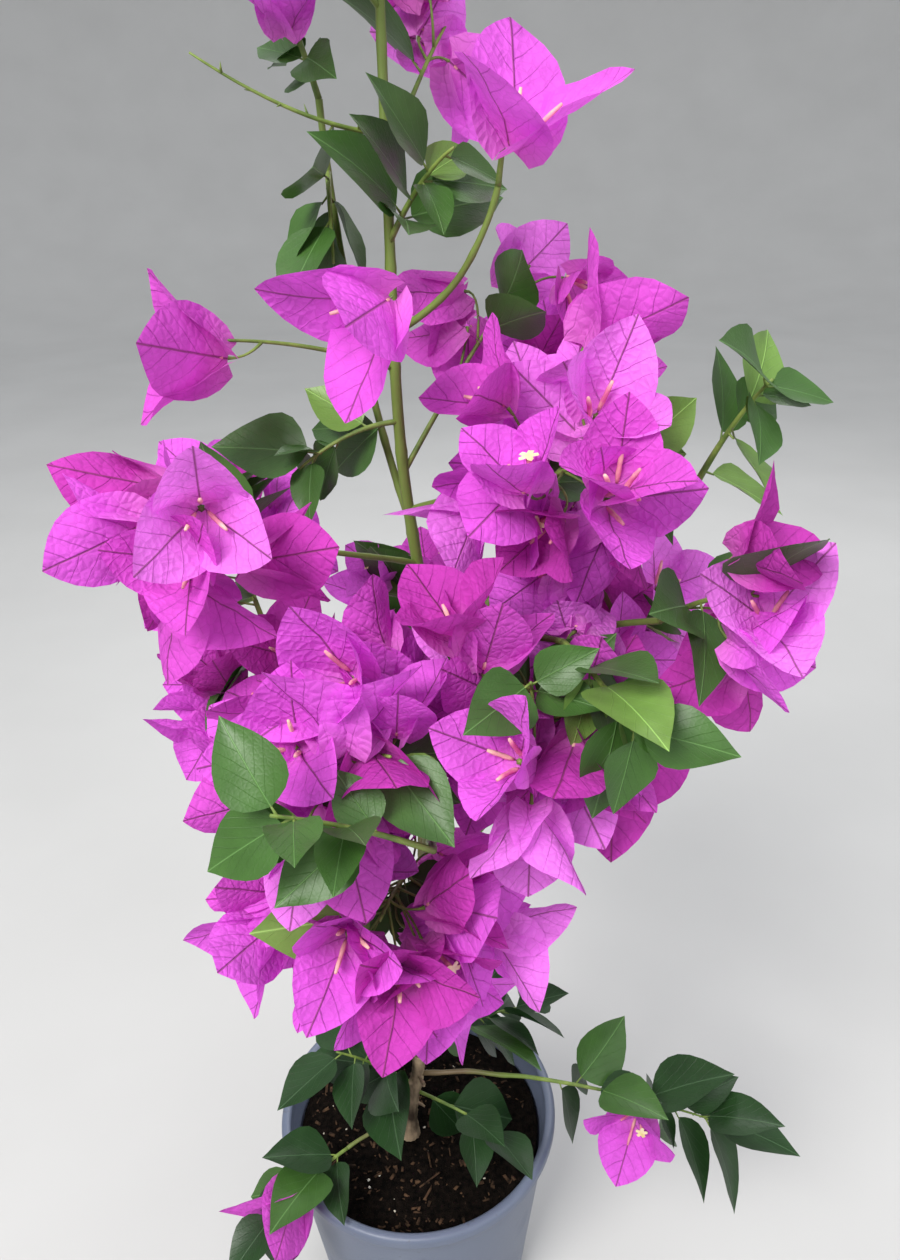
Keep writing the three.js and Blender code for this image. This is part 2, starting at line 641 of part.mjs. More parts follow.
const LIP_RADIUS = RIM_RADIUS - RIM_WIDTH;
const SHOULDER_HEIGHT = POT_HEIGHT - RIM_DROP - RIM_TO_SHOULDER;

// The pot's inner radius at a height below its shoulder.
function innerRadius(z) {
  const foot = FOOT_RADIUS - WALL;
  const up = (z - FLOOR_THICKNESS) / (SHOULDER_HEIGHT - FLOOR_THICKNESS);
  return foot + (LIP_RADIUS - WALL - foot) * up;
}

// A solid turned from a profile of radii and heights, which starts and ends on the axis.
function turned(profile) {
  const points = profile.map(([radius, height]) => new THREE.Vector2(radius, height));
  return solidOf(new THREE.LatheGeometry(points, ROUND_SIDES).rotateX(Math.PI / 2));
}

// The pot: a tapering shell with a rolled rim and drain holes in its floor.
function potSolid() {
  const shell = turned([
    [0, 0],
    [FOOT_RADIUS, 0],
    [FOOT_RADIUS + FOOT_BEVEL, FLOOR_THICKNESS],
    [LIP_RADIUS + WALL, POT_HEIGHT - RIM_DROP],
    [RIM_RADIUS, POT_HEIGHT - RIM_DROP],
    [RIM_RADIUS, POT_HEIGHT - RIM_ROUNDING],
    [RIM_RADIUS - RIM_ROUNDING, POT_HEIGHT],
    [LIP_RADIUS + RIM_ROUNDING, POT_HEIGHT],
    [LIP_RADIUS, POT_HEIGHT - RIM_ROUNDING],
    [LIP_RADIUS - WALL, SHOULDER_HEIGHT],
    [FOOT_RADIUS - WALL, FLOOR_THICKNESS],
    [0, FLOOR_THICKNESS],
  ]);
  const drills = Array.from({ length: DRAIN_HOLES }, (_, i) => {
    const turn = (i * 2 * Math.PI) / DRAIN_HOLES;
    const drill = new THREE.CylinderGeometry(DRAIN_RADIUS, DRAIN_RADIUS, DRAIN_DRILL_LENGTH, DRAIN_SIDES);
    drill.rotateX(Math.PI / 2);
    drill.translate(DRAIN_CIRCLE * Math.cos(turn), DRAIN_CIRCLE * Math.sin(turn), 0);
    return solidOf(drill);
  });
  return drills.reduce((pot, drill) => pot.subtract(drill), shell);
}

// The compost fills the pot to just below its rim, with a low mound round the trunk.
function soilSolid() {
  const bottom = FLOOR_THICKNESS + GAP;
  return turned([
    [0, bottom],
    [innerRadius(bottom) - 2 * GAP, bottom],
    [innerRadius(SOIL_TOP) - 2 * GAP, SOIL_TOP],
    [SOIL_CROWN_RADIUS, SOIL_TOP + SOIL_CROWN],
    [0, SOIL_TOP + SOIL_CROWN],
  ]);
}

const plant = new THREE.Group();

function addPart(name, solid, finish) {
  const mesh = new THREE.Mesh(geometryOf(solid), new THREE.MeshStandardMaterial(COLOURS[finish]));
  mesh.name = name;
  plant.add(mesh);
}

addPart("pot", potSolid(), "pot");
addPart("soil", soilSolid(), "soil");
addPart("trunk", trunkSolid(), "bark");
for (const [name, limb] of Object.entries(limbs)) {
  if (name === "trunk" || limb.isStub) continue;
  const whole = solidOf(limbGeometry(limb.line, limb.sides));
  const solid = limb.parent ? whole.subtract(swollen(limb.parent)) : whole;
  addPart(name, largestBody(solid), "stem");
}
Object.entries(masses).forEach(([name, mass], number) => {
  const solid = growMass(mass, number).subtract(swollen(mass.on));
  addPart(name, largestBody(solid), mass.blooms > 0 ? "bract" : "leaf");
});

export default plant;
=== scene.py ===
"""A young magenta bougainvillea in its nursery pot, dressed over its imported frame.

The plant grows here by the same seeded rule as the solids, in millimetres, and is then carried on to
finer twigs, blooms and leaves within the same spaces. Meshes are made in metres.
"""

import logging
import math
from collections.abc import Callable
from dataclasses import dataclass, field
from enum import Enum

import bpy
import numpy as np
from mathutils import Matrix, Vector


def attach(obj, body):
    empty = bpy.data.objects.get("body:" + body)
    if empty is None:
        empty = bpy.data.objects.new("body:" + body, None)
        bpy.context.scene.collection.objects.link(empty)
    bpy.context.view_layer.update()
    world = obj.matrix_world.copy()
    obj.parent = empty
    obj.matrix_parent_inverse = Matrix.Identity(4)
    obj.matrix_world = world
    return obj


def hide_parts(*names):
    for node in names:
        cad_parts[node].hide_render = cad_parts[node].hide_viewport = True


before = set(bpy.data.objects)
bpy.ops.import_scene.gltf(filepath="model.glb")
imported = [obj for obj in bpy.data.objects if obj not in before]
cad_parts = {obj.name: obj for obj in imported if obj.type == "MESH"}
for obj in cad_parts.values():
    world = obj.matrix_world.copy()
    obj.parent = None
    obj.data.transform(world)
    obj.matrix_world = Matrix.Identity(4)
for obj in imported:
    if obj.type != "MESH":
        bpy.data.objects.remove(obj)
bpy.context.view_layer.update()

MM = 0.001
MM_PER_METRE = 1000
UP = np.array([0.0, 0.0, 1.0])
EAST = np.array([1.0, 0.0, 0.0])
NEARLY_UPRIGHT = 0.9
FULL_TURN = 2.0 * math.pi
GOLDEN_SHARE = 3.0 - math.sqrt(5.0)
LOG = logging.getLogger("bougainvillea")


# Vectors


def vec(*values: float) -> np.ndarray:
    """A vector of double numbers."""
    return np.array(values, dtype=float)


def unit(direction: np.ndarray) -> np.ndarray:
    """A direction of length one."""
    return direction / math.sqrt(float(direction @ direction))


def cross(a: np.ndarray, b: np.ndarray) -> np.ndarray:
    """The direction square to two others.

    Args:
        a: The first direction.
        b: The second direction.

    Returns:
        Their cross product.
    """
    ax, ay, az = a.tolist()
    bx, by, bz = b.tolist()
    return vec(ay * bz - az * by, az * bx - ax * bz, ax * by - ay * bx)


def perpendicular(direction: np.ndarray) -> np.ndarray:
    """A direction square to another."""
    return unit(cross(direction, UP if abs(direction[2]) < NEARLY_UPRIGHT else EAST))


def turned(direction: np.ndarray, axis: np.ndarray, angle: float) -> np.ndarray:
    """A direction turned about an axis of length one.

    Args:
        direction: The direction to turn.
        axis: The axis to turn it about.
        angle: The angle in radians.

    Returns:
        The turned direction.
    """
    along = axis * float(axis @ direction) * (1.0 - math.cos(angle))
    return direction * math.cos(angle) + cross(axis, direction) * math.sin(angle) + along


class Draws:
    """A repeatable source of numbers from 0 to 1."""

    MODULUS = 2147483647
    MULTIPLIER = 16807
    SEED_STEP = 7919
    SEED_START = 104729

    def __init__(self, seed: int) -> None:
        """Starts the source from a whole number."""
        self.state = (seed * self.SEED_STEP + self.SEED_START) % self.MODULUS

    def next(self) -> float:
        """The next number."""
        self.state = (self.state * self.MULTIPLIER) % self.MODULUS
        return self.state / self.MODULUS

    def between(self, low: float, high: float) -> float:
        """The next number, spread from low to high."""
        return low + (high - low) * self.next()

    def direction(self) -> np.ndarray:
        """A direction drawn evenly from the whole sphere.

        Returns:
            The direction.
        """
        z = 2.0 * self.next() - 1.0
        turn = FULL_TURN * self.next()
        flat = math.sqrt(1.0 - z * z)
        return vec(flat * math.cos(turn), flat * math.sin(turn), z)


# Curves


class Curve:
    """A smooth line with a point and a heading at each share of it."""

    HEADING_STEP = 0.0001

    def at(self, t: float) -> np.ndarray:
        """The point at a share of the curve."""
        raise NotImplementedError

    def tangent(self, t: float) -> np.ndarray:
        """The heading at a share of the curve."""
        step = self.HEADING_STEP
        return unit(self.at(min(1.0, t + step)) - self.at(max(0.0, t - step)))

    def points(self, steps: int) -> np.ndarray:
        """Points along the curve, one more than its steps."""
        return np.array([self.at(i / steps) for i in range(steps + 1)])


@dataclass(frozen=True)
class Arc(Curve):
    """A quadratic arch from start over bend to end."""

    start: np.ndarray
    bend: np.ndarray
    end: np.ndarray

    def at(self, t: float) -> np.ndarray:
        """The point at a share of the arch."""
        k = 1.0 - t
        return k * k * self.start + 2.0 * k * t * self.bend + t * t * self.end


@dataclass(frozen=True)
class Spline(Curve):
    """A smooth line through points, centripetal, as the solids' uprights follow."""

    POWER = 0.25

    through: tuple

    def at(self, t: float) -> np.ndarray:
        """The point at a share of the line, counted by its stretches.

        Args:
            t: The share.

        Returns:
            The point.
        """
        pts = [np.array(p, dtype=float) for p in self.through]
        last = len(pts) - 1
        place = last * t
        i = min(int(math.floor(place)), last - 1)
        weight = place - i
        before = pts[i - 1] if i > 0 else 2.0 * pts[0] - pts[1]
        after = pts[i + 2] if i + 2 <= last else 2.0 * pts[last] - pts[last - 1]
        return self.blend(before, pts[i], pts[i + 1], after, weight)

    def blend(self, a: np.ndarray, b: np.ndarray, c: np.ndarray, d: np.ndarray, w: float) -> np.ndarray:
        """The point between b and c.

        Args:
            a: The point before b.
            b: The stretch's first point.
            c: The stretch's last point.
            d: The point after c.
            w: The share of the stretch.

        Returns:
            The point.
        """
        run = [float(np.dot(q - p, q - p)) ** self.POWER for p, q in ((a, b), (b, c), (c, d))]
        out = ((b - a) / run[0] - (c - a) / (run[0] + run[1]) + (c - b) / run[1]) * run[1]
        into = ((c - b) / run[1] - (d - b) / (run[1] + run[2]) + (d - c) / run[2]) * run[1]
        square = -3.0 * b + 3.0 * c - 2.0 * out - into
        cube = 2.0 * b - 2.0 * c + out + into
        return b + out * w + square * w * w + cube * w**3


def place_at_height(curve: Curve, height: float, steps: int = 200) -> float:
    """The share of a curve at which it reaches a height.

    Args:
        curve: The curve.
        height: The height in millimetres.
        steps: How finely it is looked for.

    Returns:
        The share, or 1 if the curve stays below.
    """
    for i in range(steps):
        if curve.at(i / steps)[2] >= height:
            return i / steps
    return 1.0


def segment_distance(points: np.ndarray, feet: np.ndarray, tips: np.ndarray) -> np.ndarray:
    """The distance of every point to every straight stretch.

    Args:
        points: One row for each point.
        feet: Where each stretch starts.
        tips: Where each stretch ends.

    Returns:
        A row for each point and a column for each stretch.
    """
    run = tips - feet
    square = np.sum(run * run, axis=1)
    from_foot = points[:, None, :] - feet
    share = np.clip(np.sum(from_foot * run, axis=2) / square, 0.0, 1.0)
    return np.linalg.norm(from_foot - share[:, :, None] * run, axis=2)


# The pot and the plant's plan, in millimetres, as the solids have them

POT_HEIGHT = 190.0
POT_RIM = 110.0
POT_RIM_WIDTH = 8.0
POT_FOOT = 83.0
MOUND_TOP = 166.0 + 5.0
LIMB_GAP = 0.3
TRUNK_FOOT = MOUND_TOP + LIMB_GAP
FORK = 262.0

# Each upright: the points it runs through, and its radii at foot and tip
UPRIGHTS = {
    "trunk": (((-7, -14, TRUNK_FOOT), (-5, -13, 205), (1, -12, 236), (4, -12, FORK)), (6.4, 5.0)),
    "leader": (
        (
            (4, -12, FORK + LIMB_GAP),
            (16, -12, 430),
            (24, -16, 610),
            (14, -24, 740),
            (14, -24, 860),
            (16, -20, 1015),
        ),
        (4.9, 2.1),
    ),
}

# Each bough: the limb it leaves, the height there, its end, its arch, and its radii
BOUGHS = {
    "second_leader": ("leader", 690, (-18, 8, 900), (-14, 14, 0), (2.3, 1.8)),
    "bough_left": ("leader", 668, (-52, -82, 706), (0, -10, 8), (1.9, 1.4)),
    "bough_top_right": ("leader", 795, (64, -52, 862), (14, -6, -12), (2.1, 1.6)),
    "bough_right": ("leader", 700, (66, -54, 716), (0, 0, 8), (2.6, 2)),
    "bough_green": ("leader", 628, (160, -62, 724), (24, 34, -6), (2.6, 1.8)),
    "bough_centre": ("leader", 500, (78, -104, 606), (0, -6, 14), (2.8, 1.9)),
    "bough_right_edge": ("leader", 590, (140, -96, 668), (8, 24, 4), (2.6, 1.8)),
    "bough_left_crown": ("leader", 490, (-20, -116, 596), (-4, -8, 14), (2.8, 1.9)),
    "bough_front": ("leader", 430, (14, -104, 526), (0, -8, 16), (2.7, 1.9)),
    "bough_back_left": ("leader", 470, (-84, 42, 606), (-16, 10, 20), (2.8, 1.9)),
    "bough_back": ("leader", 400, (6, 92, 524), (0, 18, 24), (2.8, 1.9)),
    "bough_back_right": ("leader", 560, (96, 62, 690), (16, 12, 18), (2.6, 1.9)),
    "bough_side_left": ("leader", 430, (-50, 2, 544), (-14, 4, 20), (2.6, 1.9)),
    "bough_side_right": ("leader", 420, (110, -2, 560), (22, 2, 24), (2.6, 1.9)),
    "bough_leafy": ("leader", 596, (88, -130, 676), (0, -4, 24), (2.2, 1.7)),
    "bough_front_leaves": ("leader", 466, (27, -188, 606), (2, -12, 16), (2.2, 1.6)),
    "bough_low_right": ("trunk", 240, (92, -24, 246), (0, -4, 12), (2.2, 1.7)),
    "bough_low_left": ("trunk", 200, (-52, -50, 208), (0, -4, 10), (2, 1.5)),
}

# The trunk's dead stubs: height on the trunk, bearing in degrees, slope, length and radius
STUBS = (
    (216, 150, 0.8, 30, 2.6),
    (232, -150, 0.25, 26, 1.9),
    (240, -70, 0.3, 17, 2.2),
    (212, -30, -0.2, 12, 1.5),
)


class Tint(Enum):
    """The greens that a mass's leaves may take."""

    # The dark green of the low leaves is partly their own older green and partly painted shade.
    DARK = "dark"
    MIDDLE = "middle"
    YOUNG = "young"


@dataclass
class MassPlan:
    """The space of one foliage mass, the limb it grows from, and what it holds."""

    at: tuple
    reach: tuple
    on: str
    blooms: int = 0
    leaves: int = 0
    height: float | None = None
    facing: tuple | None = None
    larger: float = 1.0
    more_blooms: int = 0
    more_leaves: int = 0
    tint: Tint = Tint.MIDDLE


MASSES = {
    "left_bloom": MassPlan(
        (-68, -106, 722), (42, 38, 42), "bough_left", 5, 1, more_blooms=2, more_leaves=1
    ),
    "high_left_bloom": MassPlan(
        (14, -98, 820), (56, 52, 56), "leader", 1, 0, 800, (-0.6, -0.58, -0.37), larger=1.24
    ),
    "far_left_bloom": MassPlan((-60, -76, 804), (28, 34, 36), "leader", 1, 0, 776, (-0.9, -0.3, 0.25)),
    "top_right_bloom": MassPlan(
        (68, -64, 886), (40, 36, 44), "bough_top_right", 1, 0, None, (0.3, -0.3, 0.9), larger=1.3
    ),
    "top_middle_bloom": MassPlan((38, 26, 920), (40, 36, 36), "leader", 2, 1, 870, more_blooms=1),
    "top_left_spray": MassPlan(
        (-28, 2, 930), (30, 32, 34), "second_leader", 1, 3, None, (0.1, -0.25, 0.95), 0.72, more_leaves=2
    ),
    "second_leader_leaves": MassPlan(
        (-14, -18, 848), (28, 32, 46), "second_leader", 0, 5, 868, more_leaves=2
    ),
    "tip_spray": MassPlan(
        (14, -22, 1050), (48, 46, 42), "leader", 3, 3, more_leaves=3, tint=Tint.YOUNG
    ),
    "upper_right_spray": MassPlan((68, -38, 980), (44, 42, 42), "leader", 2, 2, 950, more_leaves=3),
    "upper_left_spray": MassPlan((-40, -50, 988), (44, 42, 42), "leader", 2, 2, 930, more_leaves=3),
    "high_leaves": MassPlan(
        (32, -38, 858), (36, 38, 50), "leader", 0, 5, 836, larger=0.92, more_leaves=4
    ),
    "middle_leaves": MassPlan(
        (-18, -34, 742), (36, 40, 50), "leader", 0, 5, 752, larger=0.76, more_leaves=3
    ),
    "right_high_bloom": MassPlan((70, -4, 806), (40, 38, 36), "leader", 4, 2, 722, more_blooms=2),
    "crown_right": MassPlan(
        (106, -82, 740), (66, 58, 62), "bough_right", 11, 4, more_blooms=12, more_leaves=5
    ),
    "green_shoot": MassPlan(
        (174, -78, 758), (44, 44, 48), "bough_green", 0, 8, larger=0.74, more_leaves=2
    ),
    "crown_middle": MassPlan(
        (74, -138, 646), (64, 52, 56), "bough_centre", 12, 5, more_blooms=16, more_leaves=4
    ),
    "crown_right_edge": MassPlan(
        (160, -118, 684), (38, 40, 48), "bough_right_edge", 3, 3, more_blooms=3, more_leaves=2
    ),
    "crown_left": MassPlan(
        (0, -154, 632), (48, 62, 46), "bough_left_crown", 10, 6, more_blooms=14, more_leaves=3
    ),
    "crown_front": MassPlan(
        (6, -150, 548), (62, 54, 38), "bough_front", 10, 2, more_blooms=14, more_leaves=3
    ),
    "back_left": MassPlan(
        (-102, 60, 650), (52, 48, 54), "bough_back_left", 4, 6, more_blooms=9, more_leaves=10
    ),
    "back": MassPlan((6, 118, 568), (54, 50, 56), "bough_back", 3, 5, more_blooms=10, more_leaves=12),
    "back_right": MassPlan(
        (116, 84, 728), (52, 48, 52), "bough_back_right", 4, 6, more_blooms=9, more_leaves=10
    ),
    "side_left": MassPlan(
        (-72, -2, 580), (44, 40, 46), "bough_side_left", 3, 4, more_blooms=6, more_leaves=8
    ),
    "side_right": MassPlan(
        (136, 0, 602), (50, 48, 50), "bough_side_right", 3, 4, more_blooms=8, more_leaves=9
    ),
    "low_bloom": MassPlan(
        (20, -66, 394), (40, 40, 40), "leader", 1, 1, 346, more_leaves=2, tint=Tint.DARK
    ),
    "low_left_leaves": MassPlan(
        (-38, -26, 270), (46, 44, 48), "trunk", 0, 9, 226, more_leaves=4, tint=Tint.DARK
    ),
    "low_front_leaves": MassPlan((58, -48, 216), (40, 30, 36), "trunk", 0, 5, 222, tint=Tint.DARK),
    "low_right_leaves": MassPlan(
        (58, 2, 282), (44, 44, 44), "leader", 0, 7, 272, more_leaves=4, tint=Tint.DARK
    ),
    "low_right_shoot": MassPlan(
        (172, -36, 222), (90, 44, 44), "bough_low_right", 1, 12, more_leaves=6, tint=Tint.DARK
    ),
    "low_left_shoot": MassPlan(
        (-82, -78, 204), (46, 44, 42), "bough_low_left", 1, 6, None, (-0.5, -0.7, -0.3),
        more_leaves=3, tint=Tint.DARK
    ),
    "crown_leaves": MassPlan(
        (106, -166, 662), (34, 26, 36), "bough_leafy", 0, 8, larger=0.84, more_leaves=5
    ),
    "front_leaves": MassPlan(
        (-16, -226, 652), (42, 20, 26), "bough_front_leaves", 0, 7, larger=0.7, more_leaves=3
    ),
}


@dataclass
class Limb:
    """A limb's curve, and the points and radii along it that keep foliage off."""

    curve: Curve
    points: np.ndarray
    radii: np.ndarray
    stub: bool = False

    @classmethod
    def tapered(cls, curve: Curve, radii: tuple, steps: int, stub: bool = False) -> "Limb":
        """A limb along a curve.

        Args:
            curve: Its middle line.
            radii: Its radius at foot and tip, in millimetres.
            steps: The number of its stretches.
            stub: Whether it is a dead stub of the trunk.

        Returns:
            The limb.
        """
        widths = np.array([radii[0] + (radii[1] - radii[0]) * i / steps for i in range(steps + 1)])
        return cls(curve, curve.points(steps), widths, stub)


# The points at which a blade is tested for room: five across each of six rows, closer where it narrows
SAMPLE_ROWS = np.repeat(np.arange(1, 7) / 6.0, 5)
SAMPLE_NARROWING = 1.0 - 0.6 * (2.0 * SAMPLE_ROWS - 0.85) ** 2
SAMPLE_SIDES = np.tile(np.array([-0.95, -0.5, 0.0, 0.5, 0.95]), 6) * SAMPLE_NARROWING


@dataclass
class Blade:
    """A leaf or bract: its root, its own axes, and its size in millimetres."""

    root: np.ndarray
    along: np.ndarray
    across: np.ndarray
    out: np.ndarray
    length: float
    width: float
    cup: float

    @classmethod
    def facing(cls, root: np.ndarray, heading: np.ndarray, up: np.ndarray, size: tuple) -> "Blade":
        """A blade that lies along a heading and shows its upper face to a side.

        Args:
            root: Where it starts.
            heading: The way its midrib runs.
            up: The side that its upper face is turned to.
            size: Its length, its width as a share of that, and its fold.

        Returns:
            The blade.
        """
        along = unit(heading)
        across = unit(cross(up, along))
        return cls(root, along, across, cross(along, across), *size)

    def points(self, share: np.ndarray, side: np.ndarray, lift: "np.ndarray | float") -> np.ndarray:
        """Points of the blade.

        Args:
            share: Shares of its length.
            side: Shares of half its width, from -1 to 1.
            lift: Heights off its plane.

        Returns:
            One row of coordinates for each.
        """
        half = side * self.length * self.width / 2.0
        places = np.stack([share * self.length, half, lift + self.cup * np.abs(half)], axis=1)
        return self.root + places @ np.stack([self.along, self.across, self.out])

    def samples(self) -> np.ndarray:
        """Points spread over the blade for the tests of room."""
        return self.points(SAMPLE_ROWS, SAMPLE_SIDES, 0.0)


@dataclass
class Bloom:
    """Three bracts on a twig."""

    root: np.ndarray
    heart: np.ndarray
    axis: np.ndarray
    bracts: list[Blade]


# The places along a mass's stem that a twig may grow towards
TWIG_PLACES = 18
FIRST_TWIG = 0.12
LAST_TWIG = 0.95
TWIG_SHARES = [FIRST_TWIG + i * (LAST_TWIG - FIRST_TWIG) / (TWIG_PLACES - 1) for i in range(TWIG_PLACES)]


@dataclass
class Mass:
    """A foliage mass as it grows."""

    name: str
    plan: MassPlan
    middle: np.ndarray
    reach: np.ndarray
    heading: np.ndarray
    curve: Arc
    stem: Limb
    normals: np.ndarray | None = None
    limits: np.ndarray | None = None
    blooms: list[Bloom] = field(default_factory=list)
    leaves: list[Blade] = field(default_factory=list)
    filled: list[np.ndarray] = field(default_factory=list)
    foreign: tuple = ()

    def __post_init__(self) -> None:
        """Marks the places on the stem that a twig may grow towards."""
        self.rungs = np.array([self.curve.at(share) for share in TWIG_SHARES])

    def reach_along(self, direction: np.ndarray) -> float:
        """The half-size of the mass's space along a direction."""
        return 1.0 / float(np.linalg.norm(direction / self.reach))


@dataclass
class Growth:
    """The rule that grows the whole plant, with its sizes in millimetres."""

    limb_clearance: float = 3.0
    space_margin: float = 1.0
    pot_clearance: float = 3.0
    crowding: float = 6.5
    outgrowth: float = 1.9
    near_spaces: float = 2.0
    upright_steps: int = 4
    limb_steps: int = 5
    stub_taper: float = 0.8
    stem_foot: float = 1.6
    stem_tip: float = 0.9
    stem_past_middle: float = 0.6
    stem_arch: float = 0.2
    small_mass: int = 2
    twig_lead: float = 0.16
    twig_tests: tuple = (0.25, 0.4, 0.55, 0.7, 0.85, 1.0)
    bract_size: tuple = (50.0, 0.8, 0.16)
    bract_flare: float = 0.8
    bract_seat: tuple = (1.3, 2.5)
    bloom_pull: float = 0.3
    bloom_depth: float = 0.3
    bloom_lean: tuple = (0.75, 0.7)
    bloom_scale: tuple = (0.86, 0.26)
    bloom_spacing: float = 27.0
    leaf_size: tuple = (66.0, 0.62, 0.25)
    leaf_places: tuple = (0.12, 0.86)
    leaf_scale: tuple = (0.7, 0.45)
    leaf_stray: float = 1.2
    leaf_rise: float = 0.1
    leaf_forward: float = 0.75
    leaf_sunk: float = 0.9
    leaf_faces_up: float = 0.9
    leaf_too_steep: float = 0.85
    tries_each: int = 700
    low_ground: float = 200.0
    more_seed: int = 500
    more_tries: int = 220
    more_crowding: float = 1.6
    more_spacing: float = 11.0
    more_slack: float = 18.0
    more_bloom_scale: float = 0.9
    more_leaf_scale: float = 0.7
    limbs: dict[str, Limb] = field(default_factory=dict)
    masses: dict[str, Mass] = field(default_factory=dict)

    def __post_init__(self) -> None:
        """Lays out the limbs, the spaces and the planes between them."""
        self.lay_limbs()
        self.lay_masses()
        self.part_masses()

    def lay_limbs(self) -> None:
        """The trunk, the leader, the boughs and the stubs."""
        for name, (through, radii) in UPRIGHTS.items():
            steps = self.upright_steps * (len(through) - 1)
            self.limbs[name] = Limb.tapered(Spline(through), radii, steps)
        for name, (on, height, to, arch, radii) in BOUGHS.items():
            parent = self.limbs[on].curve
            start = parent.at(place_at_height(parent, height))
            end = vec(*to)
            line = Arc(start, (start + end) / 2 + vec(*arch), end)
            self.limbs[name] = Limb.tapered(line, radii, self.limb_steps)
        for height, bearing, slope, length, radius in STUBS:
            trunk = self.limbs["trunk"].curve
            start = trunk.at(place_at_height(trunk, height))
            turn = math.radians(bearing)
            end = start + length * unit(vec(math.cos(turn), math.sin(turn), slope))
            line = Arc(start, (start + end) / 2, end)
            radii = (radius, self.stub_taper * radius)
            self.limbs[f"stub_{height}"] = Limb.tapered(line, radii, 1, stub=True)

    def lay_masses(self) -> None:
        """The stem and space of each mass."""
        for name, plan in MASSES.items():
            limb = self.limbs[plan.on]
            from_tip = plan.height is None
            start = limb.curve.at(1.0 if from_tip else place_at_height(limb.curve, plan.height))
            middle, reach = vec(*plan.at), vec(*plan.reach)
            heading = unit(middle - start)
            past = self.stem_past_middle if plan.blooms + plan.leaves > self.small_mass else 0.0
            far = middle + heading * reach * past
            curve = Arc(start, (start + far) / 2 + UP * self.stem_arch * reach[2], far)
            foot = limb.radii[-1] if from_tip else self.stem_foot
            stem = Limb.tapered(curve, (foot, self.stem_tip), self.limb_steps)
            self.masses[name] = Mass(name, plan, middle, reach, heading, curve, stem)

    def part_masses(self) -> None:
        """The planes that neighbouring masses share, and the limbs that each keeps off."""
        for mass in self.masses.values():
            others = [other for other in self.masses.values() if other is not mass]
            normals, limits = [], []
            for other in others:
                apart = float(np.linalg.norm(other.middle - mass.middle))
                normal = (other.middle - mass.middle) / apart
                mine, theirs = mass.reach_along(normal), other.reach_along(normal)
                if apart <= self.near_spaces * (mine + theirs):
                    normals.append(normal)
                    limits.append(apart * mine / (mine + theirs) - self.space_margin)
            mass.normals, mass.limits = np.array(normals).reshape(-1, 3), np.array(limits)
            lines = list(self.limbs.values()) + [other.stem for other in others]
            feet = np.concatenate([line.points[:-1] for line in lines])
            tips = np.concatenate([line.points[1:] for line in lines])
            radii = np.concatenate([line.radii[:-1] for line in lines])
            far = self.outgrowth * float(max(mass.reach)) + self.limb_clearance + radii
            near = segment_distance(mass.middle[None, :], feet, tips)[0] < far
            mass.foreign = feet[near], tips[near], radii[near]

    def clear_of_pot(self, points: np.ndarray) -> bool:
        """Whether points are off the pot and the compost.

        Args:
            points: One row for each.

        Returns:
            True if all of them are.
        """
        z = points[:, 2]
        out = np.hypot(points[:, 0], points[:, 1])
        wall = POT_FOOT + (POT_RIM - POT_RIM_WIDTH / 2 - POT_FOOT) * z / POT_HEIGHT
        above = z > POT_HEIGHT + self.pot_clearance
        outside = out > POT_RIM + self.pot_clearance
        within = out < wall - POT_RIM_WIDTH - self.pot_clearance
        inside = within & (z > MOUND_TOP + self.pot_clearance)
        return bool(np.all((z >= self.pot_clearance) & (above | outside | inside)))

    def in_space(self, mass: Mass, points: np.ndarray, slack: float) -> bool:
        """Whether points keep to a mass's space.

        Args:
            mass: The mass that they belong to.
            points: One row for each.
            slack: How far they may reach over into a neighbour's space.

        Returns:
            True if all of them do.
        """
        offset = points - mass.middle
        if np.max(np.sum((offset / mass.reach) ** 2, axis=1)) > self.outgrowth**2:
            return False
        return not np.any(offset @ mass.normals.T > mass.limits + slack)

    def fits(self, mass: Mass, points: np.ndarray, slack: float) -> bool:
        """Whether points keep to a mass's space and off the limbs and the pot.

        Args:
            mass: The mass that they belong to.
            points: One row for each.
            slack: How far they may reach over into a neighbour's space.

        Returns:
            True if all of them do.
        """
        if not self.in_space(mass, points, slack):
            return False
        if np.min(points[:, 2]) < self.low_ground and not self.clear_of_pot(points):
            return False
        feet, tips, radii = mass.foreign
        away = segment_distance(points, feet, tips) - radii
        return bool(np.min(away, initial=self.limb_clearance + 1.0) > self.limb_clearance)

    @staticmethod
    def uncrowded(mass: Mass, points: np.ndarray, spacing: float) -> bool:
        """Whether points stand off what the mass already holds.

        Args:
            mass: The mass that they belong to.
            points: One row for each.
            spacing: How far off they have to be.

        Returns:
            True if all of them are.
        """
        if not mass.filled:
            return True
        lowest, highest = points.min(0) - spacing, points.max(0) + spacing
        for held in mass.filled:
            if np.any(held.max(0) < lowest) or np.any(held.min(0) > highest):
                continue
            square = np.sum((points[:, None, :] - held) ** 2, axis=2)
            if np.min(square) <= spacing**2:
                return False
        return True

    def twig_root(self, mass: Mass, target: np.ndarray) -> float:
        """The place along a mass's stem where the twig to a point starts."""
        away = np.sum((mass.rungs - target) ** 2, axis=1)
        return max(FIRST_TWIG, TWIG_SHARES[int(np.argmin(away))] - self.twig_lead)

